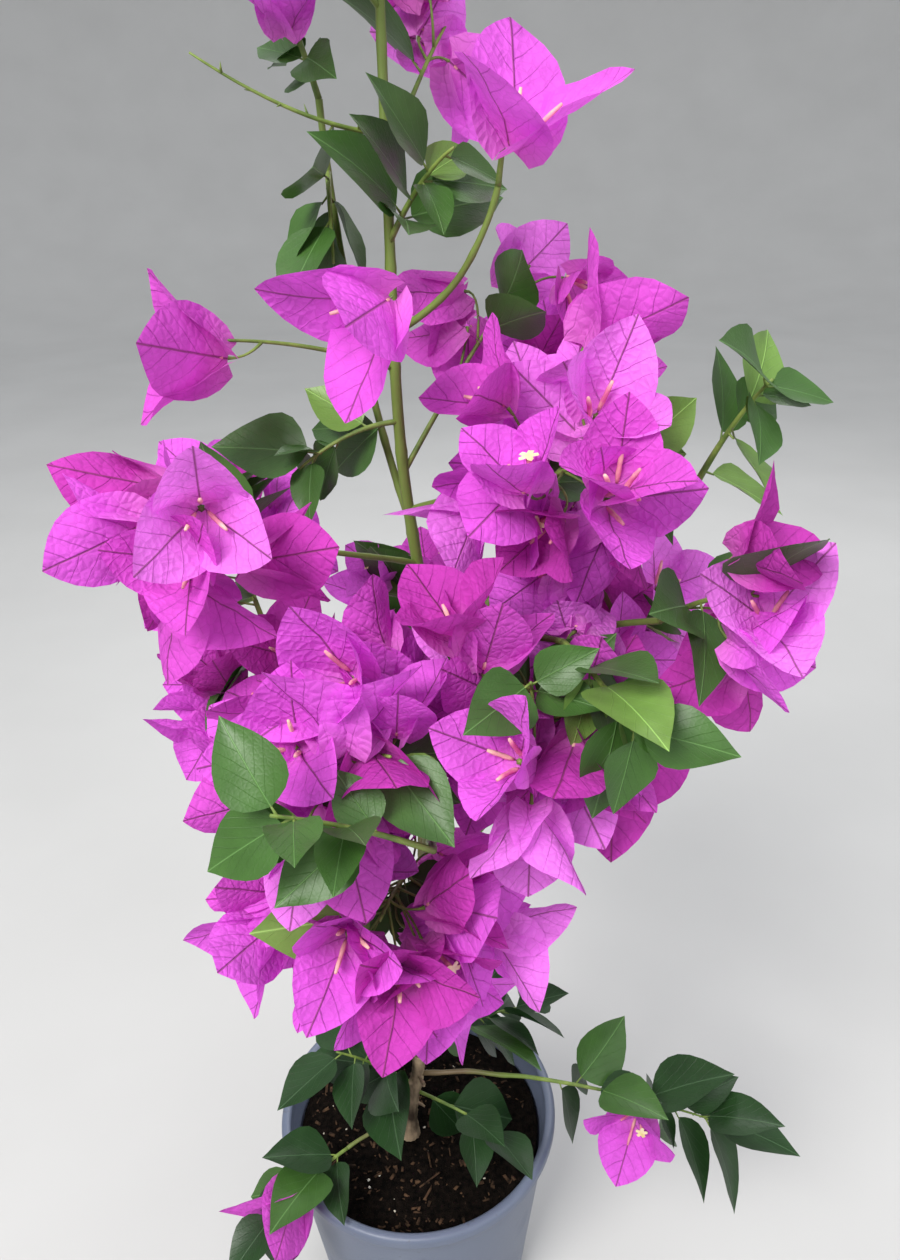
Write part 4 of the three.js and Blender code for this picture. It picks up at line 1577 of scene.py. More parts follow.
@dataclass
class Pot:
    """The nursery pot: a tapering shell with a rolled rim, in metres."""

    finish: bpy.types.Material
    height: float = 0.190
    rim_radius: float = 0.110
    rim_width: float = 0.008
    rim_drop: float = 0.009
    rim_roll: float = 0.0036
    rim_edge: float = 0.0012
    rim_groove: float = 0.0006
    lip_drop: float = 0.004
    lip_step: float = 0.0004
    foot_radius: float = 0.083
    foot_edge: float = 0.0012
    foot_out: float = 0.002
    foot_rise: float = 0.004
    wall: float = 0.0024
    floor: float = 0.003
    floor_corner: tuple = (0.001, 0.002)
    sides: int = 96
    body_shares: tuple = (0.06, 0.25, 0.5, 0.75, 0.9)
    roll_degrees: tuple = (0, 22, 45, 68, 90)
    holes: int = 6
    hole_ring: float = 0.058
    hole_radius: float = 0.005
    drill_depth: float = 0.012
    drill_sides: int = 20
    smooth_below: float = 40.0

    def profile(self) -> list:
        """Radius and height of each ring, from the foot up, over the rim and down inside.

        Returns:
            The rings as pairs.
        """
        lip = self.rim_radius - self.rim_width
        under = self.height - self.rim_drop
        foot = self.foot_radius
        out, rise = self.foot_out, self.foot_rise
        rings = [(foot + self.foot_edge, self.foot_edge), (foot + out, rise)]
        body_top = lip + self.wall
        for share in self.body_shares:
            rings.append((foot + out + (body_top - foot - out) * share, rise + (under - rise) * share))
        rings.append((body_top, under - self.rim_groove))
        rings.append((body_top + self.rim_groove, under))
        rings.append((self.rim_radius - self.rim_edge, under))
        rings.append((self.rim_radius, under + self.rim_edge))
        roll = self.rim_roll
        for degrees in self.roll_degrees:
            turn = math.radians(degrees)
            ring = self.rim_radius - roll + roll * math.cos(turn)
            rings.append((ring, self.height - roll + roll * math.sin(turn)))
        for degrees in reversed(self.roll_degrees):
            turn = math.radians(degrees)
            ring = lip + roll - roll * math.cos(turn)
            rings.append((ring, self.height - roll + roll * math.sin(turn)))
        rings.append((lip - self.lip_step, under))
        rings.append((lip - self.wall, under - self.lip_drop))
        inward, upward = self.floor_corner
        rings.append((foot - self.wall + inward, self.floor + upward))
        rings.append((foot - self.wall - inward, self.floor))
        return rings

    def build(self) -> bpy.types.Object:
        """Draws the pot up ring by ring from its foot, closes it and drills its floor.

        Returns:
            The finished piece.
        """
        deselect()
        bpy.ops.mesh.primitive_circle_add(vertices=self.sides, radius=self.foot_radius, fill_type="NGON")
        pot = bpy.context.object
        pot.name = "nursery_pot"
        bpy.ops.object.mode_set(mode="EDIT")
        bpy.ops.mesh.select_all(action="SELECT")
        bpy.ops.mesh.flip_normals()
        radius, height = self.foot_radius, 0.0
        bpy.ops.mesh.select_mode(type="EDGE")
        for ring_radius, ring_height in self.profile():
            raise_edge(ring_height - height)
            widen(ring_radius / radius)
            radius, height = ring_radius, ring_height
        bpy.ops.mesh.edge_face_add()
        bpy.ops.mesh.select_all(action="SELECT")
        bpy.ops.mesh.remove_doubles(threshold=1e-6)
        bpy.ops.mesh.normals_make_consistent(inside=False)
        bpy.ops.object.mode_set(mode="OBJECT")
        self.drill(pot)
        select_only(pot)
        bpy.ops.object.shade_smooth_by_angle(angle=math.radians(self.smooth_below))
        pot.data.materials.append(self.finish)
        fit_out(pot, ["pot"], "nursery pot")
        return pot

    def drill(self, pot: bpy.types.Object) -> None:
        """Cuts the drain holes in the floor.

        Args:
            pot: The pot.
        """
        drills = []
        for i in range(self.holes):
            turn = i * math.pi / (self.holes // 2)
            place = (self.hole_ring * math.cos(turn), self.hole_ring * math.sin(turn), 0.0)
            deselect()
            bpy.ops.mesh.primitive_cylinder_add(
                vertices=self.drill_sides, radius=self.hole_radius, depth=self.drill_depth, location=place
            )
            drills.append(bpy.context.object)
        cutter = joined(drills, "drills")
        cut = pot.modifiers.new("drain", "BOOLEAN")
        cut.operation = "DIFFERENCE"
        cut.solver = "EXACT"
        cut.object = cutter
        apply_modifiers(pot)
        bpy.data.objects.remove(cutter)


@dataclass
class Compost:
    """The compost that fills the pot, and the bits that lie on it, in metres."""

    finish: bpy.types.Material
    chip_finish: bpy.types.Material
    speck_finish: bpy.types.Material
    top: float = 0.166
    mound: float = 0.004
    mound_slope: float = 1.6
    radius: float = 0.0962
    foot_radius: float = 0.0795
    bottom: float = 0.0035
    sides: int = 72
    rings: int = 16
    ring_width: float = 0.0057
    face_upright: float = 0.9
    reliefs: tuple = (("lumps", 0.012, 0.0042), ("crumbs", 0.0032, 0.0026))
    top_margin: float = 1e-4
    edge_margin: float = 1e-3
    seed: int = 77
    bits: int = 520
    bits_margin: float = 0.007
    bits_sunk: float = 0.8
    trunk_place: tuple = (-7.0, -14.0)
    trunk_room: float = 11.0
    speck_every: int = 13
    twig_every: int = 61
    twig_first: int = 5
    speck_long: tuple = (0.6, 1.2)
    speck_wide: tuple = (0.5, 0.9)
    chip_long: tuple = (1.0, 3.8)
    chip_wide: tuple = (0.5, 1.5)
    twig_long: tuple = (8, 18)
    bit_tilt: float = 0.25
    bit_uneven: tuple = (0.6, 1.1)

    def build(self) -> None:
        """Makes the mound and strews the bits over it."""
        deselect()
        bpy.ops.mesh.primitive_cylinder_add(
            vertices=self.sides, radius=self.radius, depth=self.top - self.bottom
        )
        mound = bpy.context.object
        mound.name = "compost_mound"
        mound.location = (0, 0, (self.top + self.bottom) / 2)
        settle(mound)
        bpy.ops.object.mode_set(mode="EDIT")
        bpy.ops.mesh.select_mode(type="FACE")
        self.select_faces(mound, lambda face: face.normal.z < -self.face_upright)
        shrink = self.foot_radius / self.radius
        middle = (0.0, 0.0, self.bottom)
        bpy.ops.transform.resize(value=(shrink, shrink, 1.0), center_override=middle)
        self.select_faces(mound, lambda face: face.normal.z > self.face_upright)
        for _ in range(self.rings):
            bpy.ops.mesh.inset(thickness=self.ring_width)
        bpy.ops.object.mode_set(mode="OBJECT")
        self.roughen(mound)
        mound.data.materials.append(self.finish)
        fit_out(mound, ["soil"], "compost")
        self.strew()

    @staticmethod
    def select_faces(piece: bpy.types.Object, wanted: Callable[[bpy.types.MeshPolygon], bool]) -> None:
        """Selects the faces that pass a test, and no others.

        Args:
            piece: The piece, in edit mode.
            wanted: The test.
        """
        bpy.ops.mesh.select_all(action="DESELECT")
        bpy.ops.object.mode_set(mode="OBJECT")
        for face in piece.data.polygons:
            face.select = bool(wanted(face))
        bpy.ops.object.mode_set(mode="EDIT")

    def roughen(self, mound: bpy.types.Object) -> None:
        """Raises lumps on the top of the mound, and a low rise towards its middle.

        Args:
            mound: The mound.
        """
        top = mound.vertex_groups.new(name="top")
        for vertex in mound.data.vertices:
            out = math.hypot(vertex.co.x, vertex.co.y)
            if vertex.co.z > self.top - self.top_margin and out < self.radius - self.edge_margin:
                top.add([vertex.index], 1.0, "REPLACE")
                vertex.co.z += self.rise(out / self.radius)
        finer = mound.modifiers.new("finer", "SUBSURF")
        finer.subdivision_type = "SIMPLE"
        finer.levels = finer.render_levels = 2
        for lumps in add_relief(mound, self.reliefs, 2):
            lumps.direction = "Z"
            lumps.vertex_group = "top"
        apply_modifiers(mound)
        bpy.ops.object.shade_smooth()

    def rise(self, share: float) -> float:
        """How far the mound rises at a share of its radius, in metres."""
        return self.mound * min(1.0, self.mound_slope * (1.0 - share))

    def strew(self) -> None:
        """Strews bark chips, bits of twig and pale specks over the compost."""
        draws = Draws(self.seed)
        chips, specks = Heap(), Heap()
        for i in range(self.bits):
            out = (self.radius - self.bits_margin) * math.sqrt(draws.next()) * MM_PER_METRE
            turn = FULL_TURN * draws.next()
            height = (self.top + self.rise(out / (self.radius * MM_PER_METRE))) * MM_PER_METRE
            spot = vec(out * math.cos(turn), out * math.sin(turn), height - self.bits_sunk)
            if math.hypot(spot[0] - self.trunk_place[0], spot[1] - self.trunk_place[1]) < self.trunk_room:
                continue
            pale = i % self.speck_every == 0
            half_long = draws.between(*(self.speck_long if pale else self.chip_long))
            if i % self.twig_every == self.twig_first:
                half_long = draws.between(*self.twig_long)
            least, most = self.chip_wide
            width = self.speck_wide if pale else (least, min(most, half_long * 0.5))
            half_wide = draws.between(*width)
            (specks if pale else chips).add(*self.chip(spot, half_long, half_wide, draws))
        for heap, name, finish in (
            (chips, "compost_chips", self.chip_finish),
            (specks, "compost_specks", self.speck_finish),
        ):
            piece = heap.piece(name, finish)
            fit_out(piece, [], name.replace("_", " "))

    def chip(self, spot: np.ndarray, half_long: float, half_wide: float, draws: Draws) -> tuple:
        """One angular bit.

        Args:
            spot: Its middle.
            half_long: Half its length.
            half_wide: Half its width.
            draws: The source of numbers.

        Returns:
            Its points and faces.
        """
        turn = FULL_TURN * draws.next()
        tilt = draws.between(-self.bit_tilt, self.bit_tilt)
        along = unit(vec(math.cos(turn), math.sin(turn), tilt))
        across = unit(np.cross(UP, along))
        out = np.cross(along, across)
        corners = []
        for x in (-1, 1):
            for y, z in ((-1, -0.5), (1, -0.5), (1, 0.5), (-1, 0.5)):
                uneven = [draws.between(*self.bit_uneven) for _ in range(3)]
                corner = spot + along * x * half_long * uneven[0] + across * y * half_wide * uneven[1]
                corners.append(corner + out * z * half_wide * uneven[2])
        faces = [(0, 1, 2, 3), (7, 6, 5, 4), (0, 4, 5, 1), (1, 5, 6, 2), (2, 6, 7, 3), (3, 7, 4, 0)]
        return np.array(corners), faces


@dataclass
class Wood:
    """The trunk with its bark, and the green limbs, with radii in millimetres."""

    growth: Growth
    bark: bpy.types.Material
    green: bpy.types.Material
    trunk_steps: int = 24
    stub_steps: int = 6
    flare: float = 0.3
    flare_height: float = 9.0
    ripples: tuple = ((0.05, 4.2, 0.0), (0.04, 1.9, 1.0))
    foot_gap: float = 0.6
    trunk_roundness: int = 5
    bark_room: float = 0.97
    stub_bark_room: float = 0.95
    voxel: float = 0.00085
    reliefs: tuple = (("furrows", 0.0045, 0.0013), ("scales", 0.0018, 0.0007))
    leader_steps: int = 150
    bough_steps: int = 40
    leader_spacing: float = 46.0
    bough_spacing: float = 27.0
    node_shift: int = 9
    node_width: float = 12.0
    between_nodes: float = 0.92
    node_swell: float = 0.12
    wander: float = 0.9

    def rod(
        self, name: str, points: np.ndarray, radii: np.ndarray, roundness: int = 3
    ) -> bpy.types.Object:
        """A round rod along points, drawn as a path and made a mesh.

        Args:
            name: Its name.
            points: Its middle line in millimetres.
            radii: Its radius at each point.
            roundness: How finely it is rounded.

        Returns:
            The rod.
        """
        deselect()
        bpy.ops.curve.primitive_nurbs_path_add()
        rod = bpy.context.object
        rod.name = name
        path = rod.data
        path.splines.clear()
        spline = path.splines.new("POLY")
        spline.points.add(len(points) - 1)
        for point, place, radius in zip(spline.points, points, radii):
            point.co = (*(place * MM), 1.0)
            point.radius = float(radius)
        path.bevel_depth = MM
        path.bevel_resolution = roundness
        path.use_fill_caps = True
        bpy.ops.object.convert(target="MESH")
        return bpy.context.object

    def line(self, limb: Limb, steps: int) -> tuple:
        """A limb's middle line with finer steps.

        Args:
            limb: The limb.
            steps: The number of steps.

        Returns:
            Its points and its radii.
        """
        shares = np.linspace(0.0, 1.0, steps + 1)
        points = np.array([limb.curve.at(float(share)) for share in shares])
        radii = limb.radii[0] + (limb.radii[-1] - limb.radii[0]) * shares
        return points, radii

    def build_trunk(self) -> bpy.types.Object:
        """The trunk, with its root flare and dead stubs, under rough bark.

        Returns:
            The finished piece.
        """
        points, radii = self.line(self.growth.limbs["trunk"], self.trunk_steps)
        up = points[:, 2] - points[0, 2]
        radii = radii * (1.0 + self.flare * np.exp(-up / self.flare_height))
        ripple = 1.0
        for share, length, shift in self.ripples:
            ripple = ripple + share * np.sin(up / length + shift)
        radii = radii * ripple
        points[0, 2] += self.foot_gap
        rods = [self.rod("trunk_wood", points, radii * self.bark_room, self.trunk_roundness)]
        for name, limb in self.growth.limbs.items():
            if limb.stub:
                spots, widths = self.line(limb, self.stub_steps)
                rods.append(self.rod(name, spots, widths * self.stub_bark_room))
        trunk = joined(rods, "trunk_bark")
        skin = trunk.modifiers.new("skin", "REMESH")
        skin.mode = "VOXEL"
        skin.voxel_size = self.voxel
        add_relief(trunk, self.reliefs, 3)
        apply_modifiers(trunk)
        bpy.ops.object.shade_smooth()
        trunk.data.materials.append(self.bark)
        fit_out(trunk, ["trunk"], "trunk")
        return trunk

    def build_limbs(self) -> bpy.types.Object:
        """The leader and boughs, with slight swellings where leaves have stood.

        Returns:
            The finished piece.
        """
        rods, names = [], []
        for number, (name, limb) in enumerate(self.growth.limbs.items()):
            if limb.stub or name == "trunk":
                continue
            is_leader = name == "leader"
            points, radii = self.line(limb, self.leader_steps if is_leader else self.bough_steps)
            run = np.concatenate([[0.0], np.cumsum(np.linalg.norm(np.diff(points, axis=0), axis=1))])
            spacing = self.leader_spacing if is_leader else self.bough_spacing
            off_node = (run + self.node_shift * number) % spacing - spacing / 2
            swell = np.exp(-(off_node**2) / self.node_width)
            radii = radii * (self.between_nodes + self.node_swell * swell)
            side = perpendicular(unit(points[-1] - points[0]))
            ends = np.sin(np.pi * run / run[-1])
            points = points + np.outer(self.wander * ends * np.sin(run / spacing * math.pi), side)
            rods.append(self.rod(name + "_wood", points, radii, 2))
            names.append(name)
        limbs = joined(rods, "green_limbs")
        bpy.ops.object.shade_smooth()
        limbs.data.materials.clear()
        limbs.data.materials.append(self.green)
        fit_out(limbs, names, "limbs")
        return limbs


@dataclass
class Foliage:
    """The blooms, leaves, twigs and thorns of every mass, joined by kind and shade."""

    growth: Growth
    finishes: Finishes
    bract_rows: tuple = (0.0, 0.06, 0.15, 0.27, 0.41, 0.55, 0.69, 0.81, 0.91, 0.97, 1.0)
    bract_widths: tuple = (0.38, 0.7, 0.9, 1.02, 1.05, 0.99, 0.84, 0.62, 0.34, 0.12, 0.0)
    bract_sides: tuple = (-1.0, -0.72, -0.36, 0.0, 0.36, 0.72, 1.0)
    leaf_rows: tuple = (0.12, 0.15, 0.2, 0.28, 0.38, 0.5, 0.62, 0.74, 0.84, 0.92, 0.97, 1.0)
    leaf_widths: tuple = (0.05, 0.34, 0.66, 0.93, 1.04, 1.01, 0.87, 0.65, 0.41, 0.19, 0.07, 0.0)
    leaf_sides: tuple = (-1.0, -0.55, 0.0, 0.55, 1.0)
    seed: int = 901
    stem_sides: int = 6
    twig_sides: int = 5
    thorn_sides: int = 4
    stem_steps: int = 14
    stem_radii: tuple = (1.9, 0.7)
    twig_radii: tuple = (0.85, 0.75, 0.7, 0.65, 0.62, 0.62, 0.7, 1.0, 1.5)
    neck: float = 16.0
    bract_curl: tuple = (-0.16, 0.24)
    bract_cup: tuple = (0.08, 0.55)
    bract_waves: tuple = (0.8, 2.3)
    bract_pucker: tuple = (0.5, 1.1)
    bract_twist: tuple = (-0.16, 0.16)
    bract_edge: float = 1.6
    bract_wave_counts: tuple = (8.5, 1.6)
    bract_fold_counts: tuple = (12.0, 4.0)
    bract_flattened: float = 0.55
    bract_lobes: float = 0.13
    tube_foot: float = 3.0
    tube_bend: tuple = (0.18, 2.2)
    tube_reach: tuple = (0.34, 0.5)
    tube_rise: tuple = (3.5, 7.0)
    tube_radii: tuple = (0.7, 1.0, 1.25, 1.05, 1.15, 0.7)
    open_mouth: float = 1.5
    open_share: float = 0.12
    star_reach: tuple = (2.4, 4.2, 4.6, 4.2)
    star_lift: tuple = (0.9, 1.0, 0.6, 1.0)
    star_points: int = 20
    star_turn: float = 6.28
    star_middle: float = 0.3
    leaf_droop: tuple = (0.1, 0.42)
    leaf_waves: tuple = (0.5, 1.6)
    leaf_wave_count: float = 9.0
    leaf_edge: float = 1.5
    leaf_softened: float = 0.7
    leaf_bend: float = 0.6
    stalk_drop: float = 0.5
    stalk_shares: tuple = (0.0, 0.07, 0.14)
    stalk_radii: tuple = (0.8, 0.6, 0.45)
    other_tint_share: float = 0.2
    shoot: tuple = ((13, -26, 884), (-22, -48, 888), (-62, -60, 915))
    shoot_steps: int = 14
    shoot_radii: tuple = (1.3, 0.5)
    thorn_length: float = 5.0
    thorn_turn: float = 1.9
    thorn_radii: tuple = (0.7, 0.4, 0.08)

    def build(self) -> None:
        """Builds every kind."""
        draws = Draws(self.seed)
        self.twigs, self.tubes, self.stars = Heap(), Heap(), Heap()
        self.bracts = [Heap() for _ in BRACT_SHADES]
        self.leaves = {tint: Heap() for tint in Tint}
        for mass in self.growth.masses.values():
            self.add_stem(mass)
            for bloom in mass.blooms:
                self.add_bloom(bloom, draws)
            for blade in mass.leaves:
                self.add_leaf(mass, blade, draws)
        self.add_bare_shoot()
        self.finish()

    def add_stem(self, mass: Mass) -> None:
        """The mass's own stem.

        Args:
            mass: The mass.
        """
        shares = np.linspace(0.0, 1.0, self.stem_steps + 1)
        points = np.array([mass.curve.at(float(share)) for share in shares])
        thickest, tip = self.stem_radii
        foot = min(mass.stem.radii[0], thickest)
        radii = foot + (tip - foot) * shares
        self.twigs.add(*tube(points, radii, self.stem_sides))

    def add_bloom(self, bloom: Bloom, draws: Draws) -> None:
        """One bloom: its twig, three bracts, and the flower tube on each.

        Args:
            bloom: The bloom.
            draws: The source of numbers.
        """
        run = float(np.linalg.norm(bloom.heart - bloom.root))
        neck = bloom.heart - bloom.axis * min(self.neck, 0.5 * run)
        curve = Arc(bloom.root, neck, bloom.heart)
        radii = np.array(self.twig_radii)
        self.twigs.add(*tube(curve.points(len(radii) - 1), radii, self.twig_sides))
        shade = int(draws.next() * len(self.bracts)) % len(self.bracts)
        opened = draws.next()
        for number, bract in enumerate(bloom.bracts):
            self.add_bract(bract, self.bracts[shade], draws)
            self.add_tube(bract, draws, opened < self.open_share and number == 0)

    def add_bract(self, blade: Blade, heap: Heap, draws: Draws) -> None:
        """One papery bract with waved edges and a drawn-out tip.

        Args:
            blade: Its place and size.
            heap: The mesh that it joins.
            draws: The source of numbers.
        """
        share, side, wide = self.blade_grid(self.bract_rows, self.bract_sides, self.bract_widths)
        half = blade.length * blade.width / 2.0
        phase = FULL_TURN * draws.next()
        slant = FULL_TURN * draws.next()
        curl = draws.between(*self.bract_curl)
        cup = draws.between(*self.bract_cup)
        edge = np.abs(side) ** self.bract_edge * wide
        length_waves, side_waves = self.bract_wave_counts
        height = draws.between(*self.bract_waves)
        waves = height * np.sin(share * length_waves + side * side_waves + phase) * edge
        length_folds, side_folds = self.bract_fold_counts
        depth = draws.between(*self.bract_pucker)
        pucker = depth * np.sin(share * length_folds + phase) * np.cos(side * side_folds + slant) * wide
        bend = -curl * blade.length * share**2
        bowl = (cup * side**2 * wide - blade.cup * np.abs(side) * self.bract_flattened) * half * wide
        twist = draws.between(*self.bract_twist) * side * wide * share * half
        lobes = share - self.bract_lobes * side**2 * (1.0 - share) ** 4
        points = blade.points(lobes, side * wide, waves + pucker + bend + bowl + twist)
        uvs = np.stack([share, 0.5 + 0.5 * side * wide], axis=1)
        heap.add(points, grid_faces(len(self.bract_rows), len(self.bract_sides)), uvs)

    @staticmethod
    def blade_grid(rows: tuple, sides: tuple, widths: tuple) -> tuple:
        """The grid of points that makes a blade.

        Args:
            rows: The share of the length at each row.
            sides: The share of the half-width at each column.
            widths: How wide the blade is at each row.

        Returns:
            For each point, its share of the length, its share across and its row's width.
        """
        return np.repeat(rows, len(sides)), np.tile(sides, len(rows)), np.repeat(widths, len(sides))

    def add_tube(self, blade: Blade, draws: Draws, opened: bool) -> None:
        """The slim flower tube on a bract's midrib, sometimes with its open star.

        Args:
            blade: The bract that it stands on.
            draws: The source of numbers.
            opened: Whether it ends in a star.
        """
        foot = blade.root + self.tube_foot * blade.along
        share, rise = self.tube_bend
        middle = blade.root + share * blade.length * blade.along + rise * blade.out
        reach = draws.between(*self.tube_reach) * blade.length
        tip = blade.root + reach * blade.along + draws.between(*self.tube_rise) * blade.out
        radii = np.array(self.tube_radii)
        if opened:
            radii[-1] = self.open_mouth
        points = Arc(foot, middle, tip).points(len(radii) - 1)
        self.tubes.add(*tube(points, radii, self.stem_sides))
        if opened:
            self.add_star(tip, unit(tip - middle), draws)

    def add_star(self, place: np.ndarray, axis: np.ndarray, draws: Draws) -> None:
        """A small open star of five blunt lobes.

        Args:
            place: Its middle.
            axis: The way it faces.
            draws: The source of numbers.
        """
        side = turned(perpendicular(axis), axis, self.star_turn * draws.next())
        points = [place + self.star_middle * axis]
        count = self.star_points
        for k in range(count):
            reach = self.star_reach[k % len(self.star_reach)]
            lift = self.star_lift[k % len(self.star_lift)]
            points.append(place + reach * turned(side, axis, FULL_TURN * k / count) + lift * axis)
        faces = [(0, 1 + k, 1 + (k + 1) % count) for k in range(count)]
        self.stars.add(np.array(points), faces)

    def add_leaf(self, mass: Mass, blade: Blade, draws: Draws) -> None:
        """One leaf, folded along its midrib and drooping to its tip, with its stalk.

        Args:
            mass: The mass that it belongs to.
            blade: Its place and size.
            draws: The source of numbers.
        """
        share, side, wide = self.blade_grid(self.leaf_rows, self.leaf_sides, self.leaf_widths)
        phase = FULL_TURN * draws.next()
        droop = draws.between(*self.leaf_droop)
        height = draws.between(*self.leaf_waves)
        along = share * self.leaf_wave_count + side + phase
        waves = height * np.sin(along) * np.abs(side) ** self.leaf_edge * wide
        fold = (side**2 - np.abs(side)) * blade.cup * self.leaf_softened * wide
        soften = fold * blade.length * blade.width / 2.0
        lift = waves + soften - droop * blade.length * share**2 * self.leaf_bend
        points = blade.points(share, side * wide, lift)
        level = np.zeros(len(self.stalk_shares))
        stalk = blade.points(np.array(self.stalk_shares), level, -self.stalk_drop)
        self.twigs.add(*tube(stalk, np.array(self.stalk_radii), self.twig_sides))
        uvs = np.stack([share, 0.5 + 0.5 * side * wide], axis=1)
        tint = mass.plan.tint
        if draws.next() < self.other_tint_share:
            tint = Tint.YOUNG if tint is Tint.MIDDLE else Tint.MIDDLE
        self.leaves[tint].add(points, grid_faces(len(self.leaf_rows), len(self.leaf_sides)), uvs)

    def add_bare_shoot(self) -> None:
        """The bare thorny shoot that leaves the leader high up on the left."""
        steps = self.shoot_steps
        points = Arc(*(vec(*place) for place in self.shoot)).points(steps)
        radii = np.linspace(*self.shoot_radii, steps + 1)
        self.twigs.add(*tube(points, radii, self.stem_sides))
        for i in range(2, steps, 2):
            foot, along = points[i], unit(points[i + 1] - points[i])
            out = turned(perpendicular(along), along, i * self.thorn_turn)
            tip = foot + self.thorn_length * unit(out + 0.5 * along)
            thorn = np.array([foot, (foot + tip) / 2, tip])
            self.twigs.add(*tube(thorn, np.array(self.thorn_radii), self.thorn_sides))

    def finish(self) -> None:
        """Turns the heaps into pieces and hides the nodes that they replace."""
        names = list(self.growth.masses)
        for i, heap in enumerate(self.bracts):
            piece = heap.piece(f"bracts_{i}", self.finishes.bracts[i])
            fit_out(piece, names, f"bracts of shade {i}")
        for tint, heap in self.leaves.items():
            piece = heap.piece(f"leaves_{tint.value}", self.finishes.leaves[tint])
            fit_out(piece, names, f"{tint.value} leaves")
        for heap, name, material, slot in (
            (self.twigs, "twigs", self.finishes.twig, "leaves"),
            (self.tubes, "flower_tubes", self.finishes.tube, "blossom"),
            (self.stars, "flower_stars", self.finishes.star, "blossom"),
        ):
            piece = heap.piece(name, material)
            fit_out(piece, names, name.replace("_", " "))


# Studio


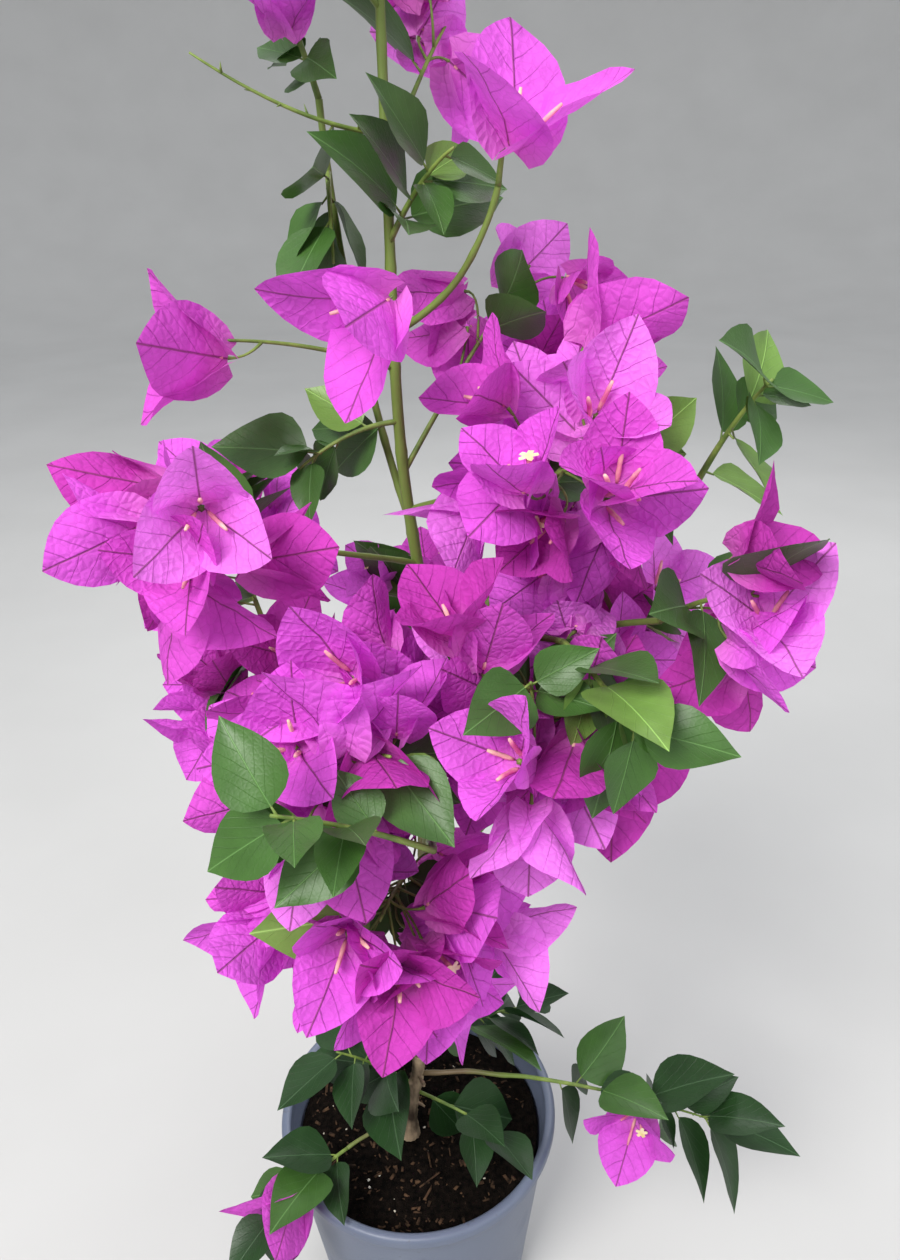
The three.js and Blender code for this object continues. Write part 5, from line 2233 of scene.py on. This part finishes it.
@dataclass
class Studio:
    """The camera at the photo's angle, a pale floor and soft lights, in metres."""

    eye: tuple = (0.037, -0.511, 0.877)
    pitch: float = math.radians(26.9)
    roll: float = math.radians(-1.72)
    sensor: float = 36.0
    photo_height: float = 1260.0
    focal_length: float = 947.0
    nearest: float = 0.01
    floor_sides: int = 96
    floor_radius: float = 5.0
    floor_drop: float = 0.0006
    sweep: float = 2.4
    sweep_steps: int = 12
    wall_height: float = 3.0
    floor_tones: tuple = ((0.53, 0.526, 0.518, 1), (0.56, 0.556, 0.548, 1))
    floor_stops: tuple = (0.3, 0.7)
    floor_roughness: float = 0.9
    sky: tuple = (0.93, 0.96, 1.0, 1.0)
    sky_strength: float = 0.94
    lamp_target: tuple = (0.0, 0.0, 0.6)
    lamps: tuple = (
        ("key", (-0.9, -1.5, 2.3), 1.0, 66.0, (1.0, 0.985, 0.95)),
        ("fill", (1.7, -1.3, 1.3), 1.8, 14.0, (0.96, 0.98, 1.0)),
        ("back", (0.5, 1.8, 1.9), 1.4, 18.0, (1.0, 1.0, 1.0)),
    )

    def place_camera(self) -> None:
        """Sets the camera that the photo was taken from."""
        ahead = vec(0.0, math.cos(self.pitch), -math.sin(self.pitch))
        right = EAST
        above = np.cross(right, ahead)
        x = math.cos(self.roll) * right + math.sin(self.roll) * above
        y = -math.sin(self.roll) * right + math.cos(self.roll) * above
        data = bpy.data.cameras.new("camera")
        data.lens = self.focal_length / self.photo_height * self.sensor
        data.sensor_width = self.sensor
        data.clip_start = self.nearest
        camera = bpy.data.objects.new("camera", data)
        bpy.context.scene.collection.objects.link(camera)
        rows = [[x[i], y[i], -ahead[i], self.eye[i]] for i in range(3)] + [[0, 0, 0, 1]]
        camera.matrix_world = Matrix([[float(v) for v in row] for row in rows])
        bpy.context.scene.camera = camera

    def build_stage(self) -> None:
        """A pale floor that sweeps up far off on all sides, and the soft light."""
        self.build_floor()
        world = bpy.data.worlds.new("sky")
        world.use_nodes = True
        background = world.node_tree.nodes["Background"]
        background.inputs[0].default_value = self.sky
        background.inputs[1].default_value = self.sky_strength
        bpy.context.scene.world = world
        bpy.context.scene.view_settings.view_transform = "Standard"
        for lamp in self.lamps:
            self.hang_lamp(*lamp)

    def build_floor(self) -> None:
        """Draws the floor out and up ring by ring."""
        deselect()
        place = (0, 0, -self.floor_drop)
        radius, height = self.floor_radius, 0.0
        bpy.ops.mesh.primitive_circle_add(
            vertices=self.floor_sides, radius=radius, fill_type="NGON", location=place
        )
        floor = bpy.context.object
        floor.name = "floor"
        bpy.ops.object.mode_set(mode="EDIT")
        bpy.ops.mesh.select_mode(type="EDGE")
        for i in range(1, self.sweep_steps + 1):
            turn = math.pi / 2 * i / self.sweep_steps
            wider = self.floor_radius + self.sweep * math.sin(turn)
            higher = self.sweep * (1.0 - math.cos(turn))
            raise_edge(higher - height)
            widen(wider / radius)
            radius, height = wider, higher
        raise_edge(self.wall_height)
        bpy.ops.mesh.select_all(action="SELECT")
        bpy.ops.mesh.normals_make_consistent(inside=True)
        bpy.ops.object.mode_set(mode="OBJECT")
        bpy.ops.object.shade_smooth()
        settle(floor)
        recipe = Recipe("floor_paint")
        tone = recipe.ramp(recipe.noise(3.0, 3.0), list(zip(self.floor_stops, self.floor_tones)))
        paint = recipe.node("BsdfPrincipled", {"Base Color": tone, "Roughness": self.floor_roughness})
        floor.data.materials.append(recipe.finish(paint))

    def hang_lamp(self, name: str, place: tuple, size: float, power: float, colour: tuple) -> None:
        """A soft square lamp that faces the plant.

        Args:
            name: Its name.
            place: Where it stands.
            size: The length of its side.
            power: Its strength in watts.
            colour: Its colour.
        """
        data = bpy.data.lights.new(name, "AREA")
        data.size = size
        data.energy = power
        data.color = colour
        lamp = bpy.data.objects.new(name, data)
        lamp.location = place
        towards = Vector(self.lamp_target) - Vector(place)
        lamp.rotation_euler = towards.to_track_quat("-Z", "Y").to_euler()
        bpy.context.scene.collection.objects.link(lamp)


def main() -> None:
    """Builds the camera, the stage and every piece in order."""
    logging.basicConfig(level=logging.INFO, format="%(message)s")
    studio = Studio()
    studio.place_camera()
    studio.build_stage()
    finishes = Finishes()
    growth = Growth()
    growth.grow()
    Pot(finishes.pot).build()
    Compost(finishes.compost, finishes.chips, finishes.specks).build()
    wood = Wood(growth, finishes.bark, finishes.stem)
    wood.build_trunk()
    wood.build_limbs()
    Foliage(growth, finishes).build()


if __name__ == "__main__":
    main()
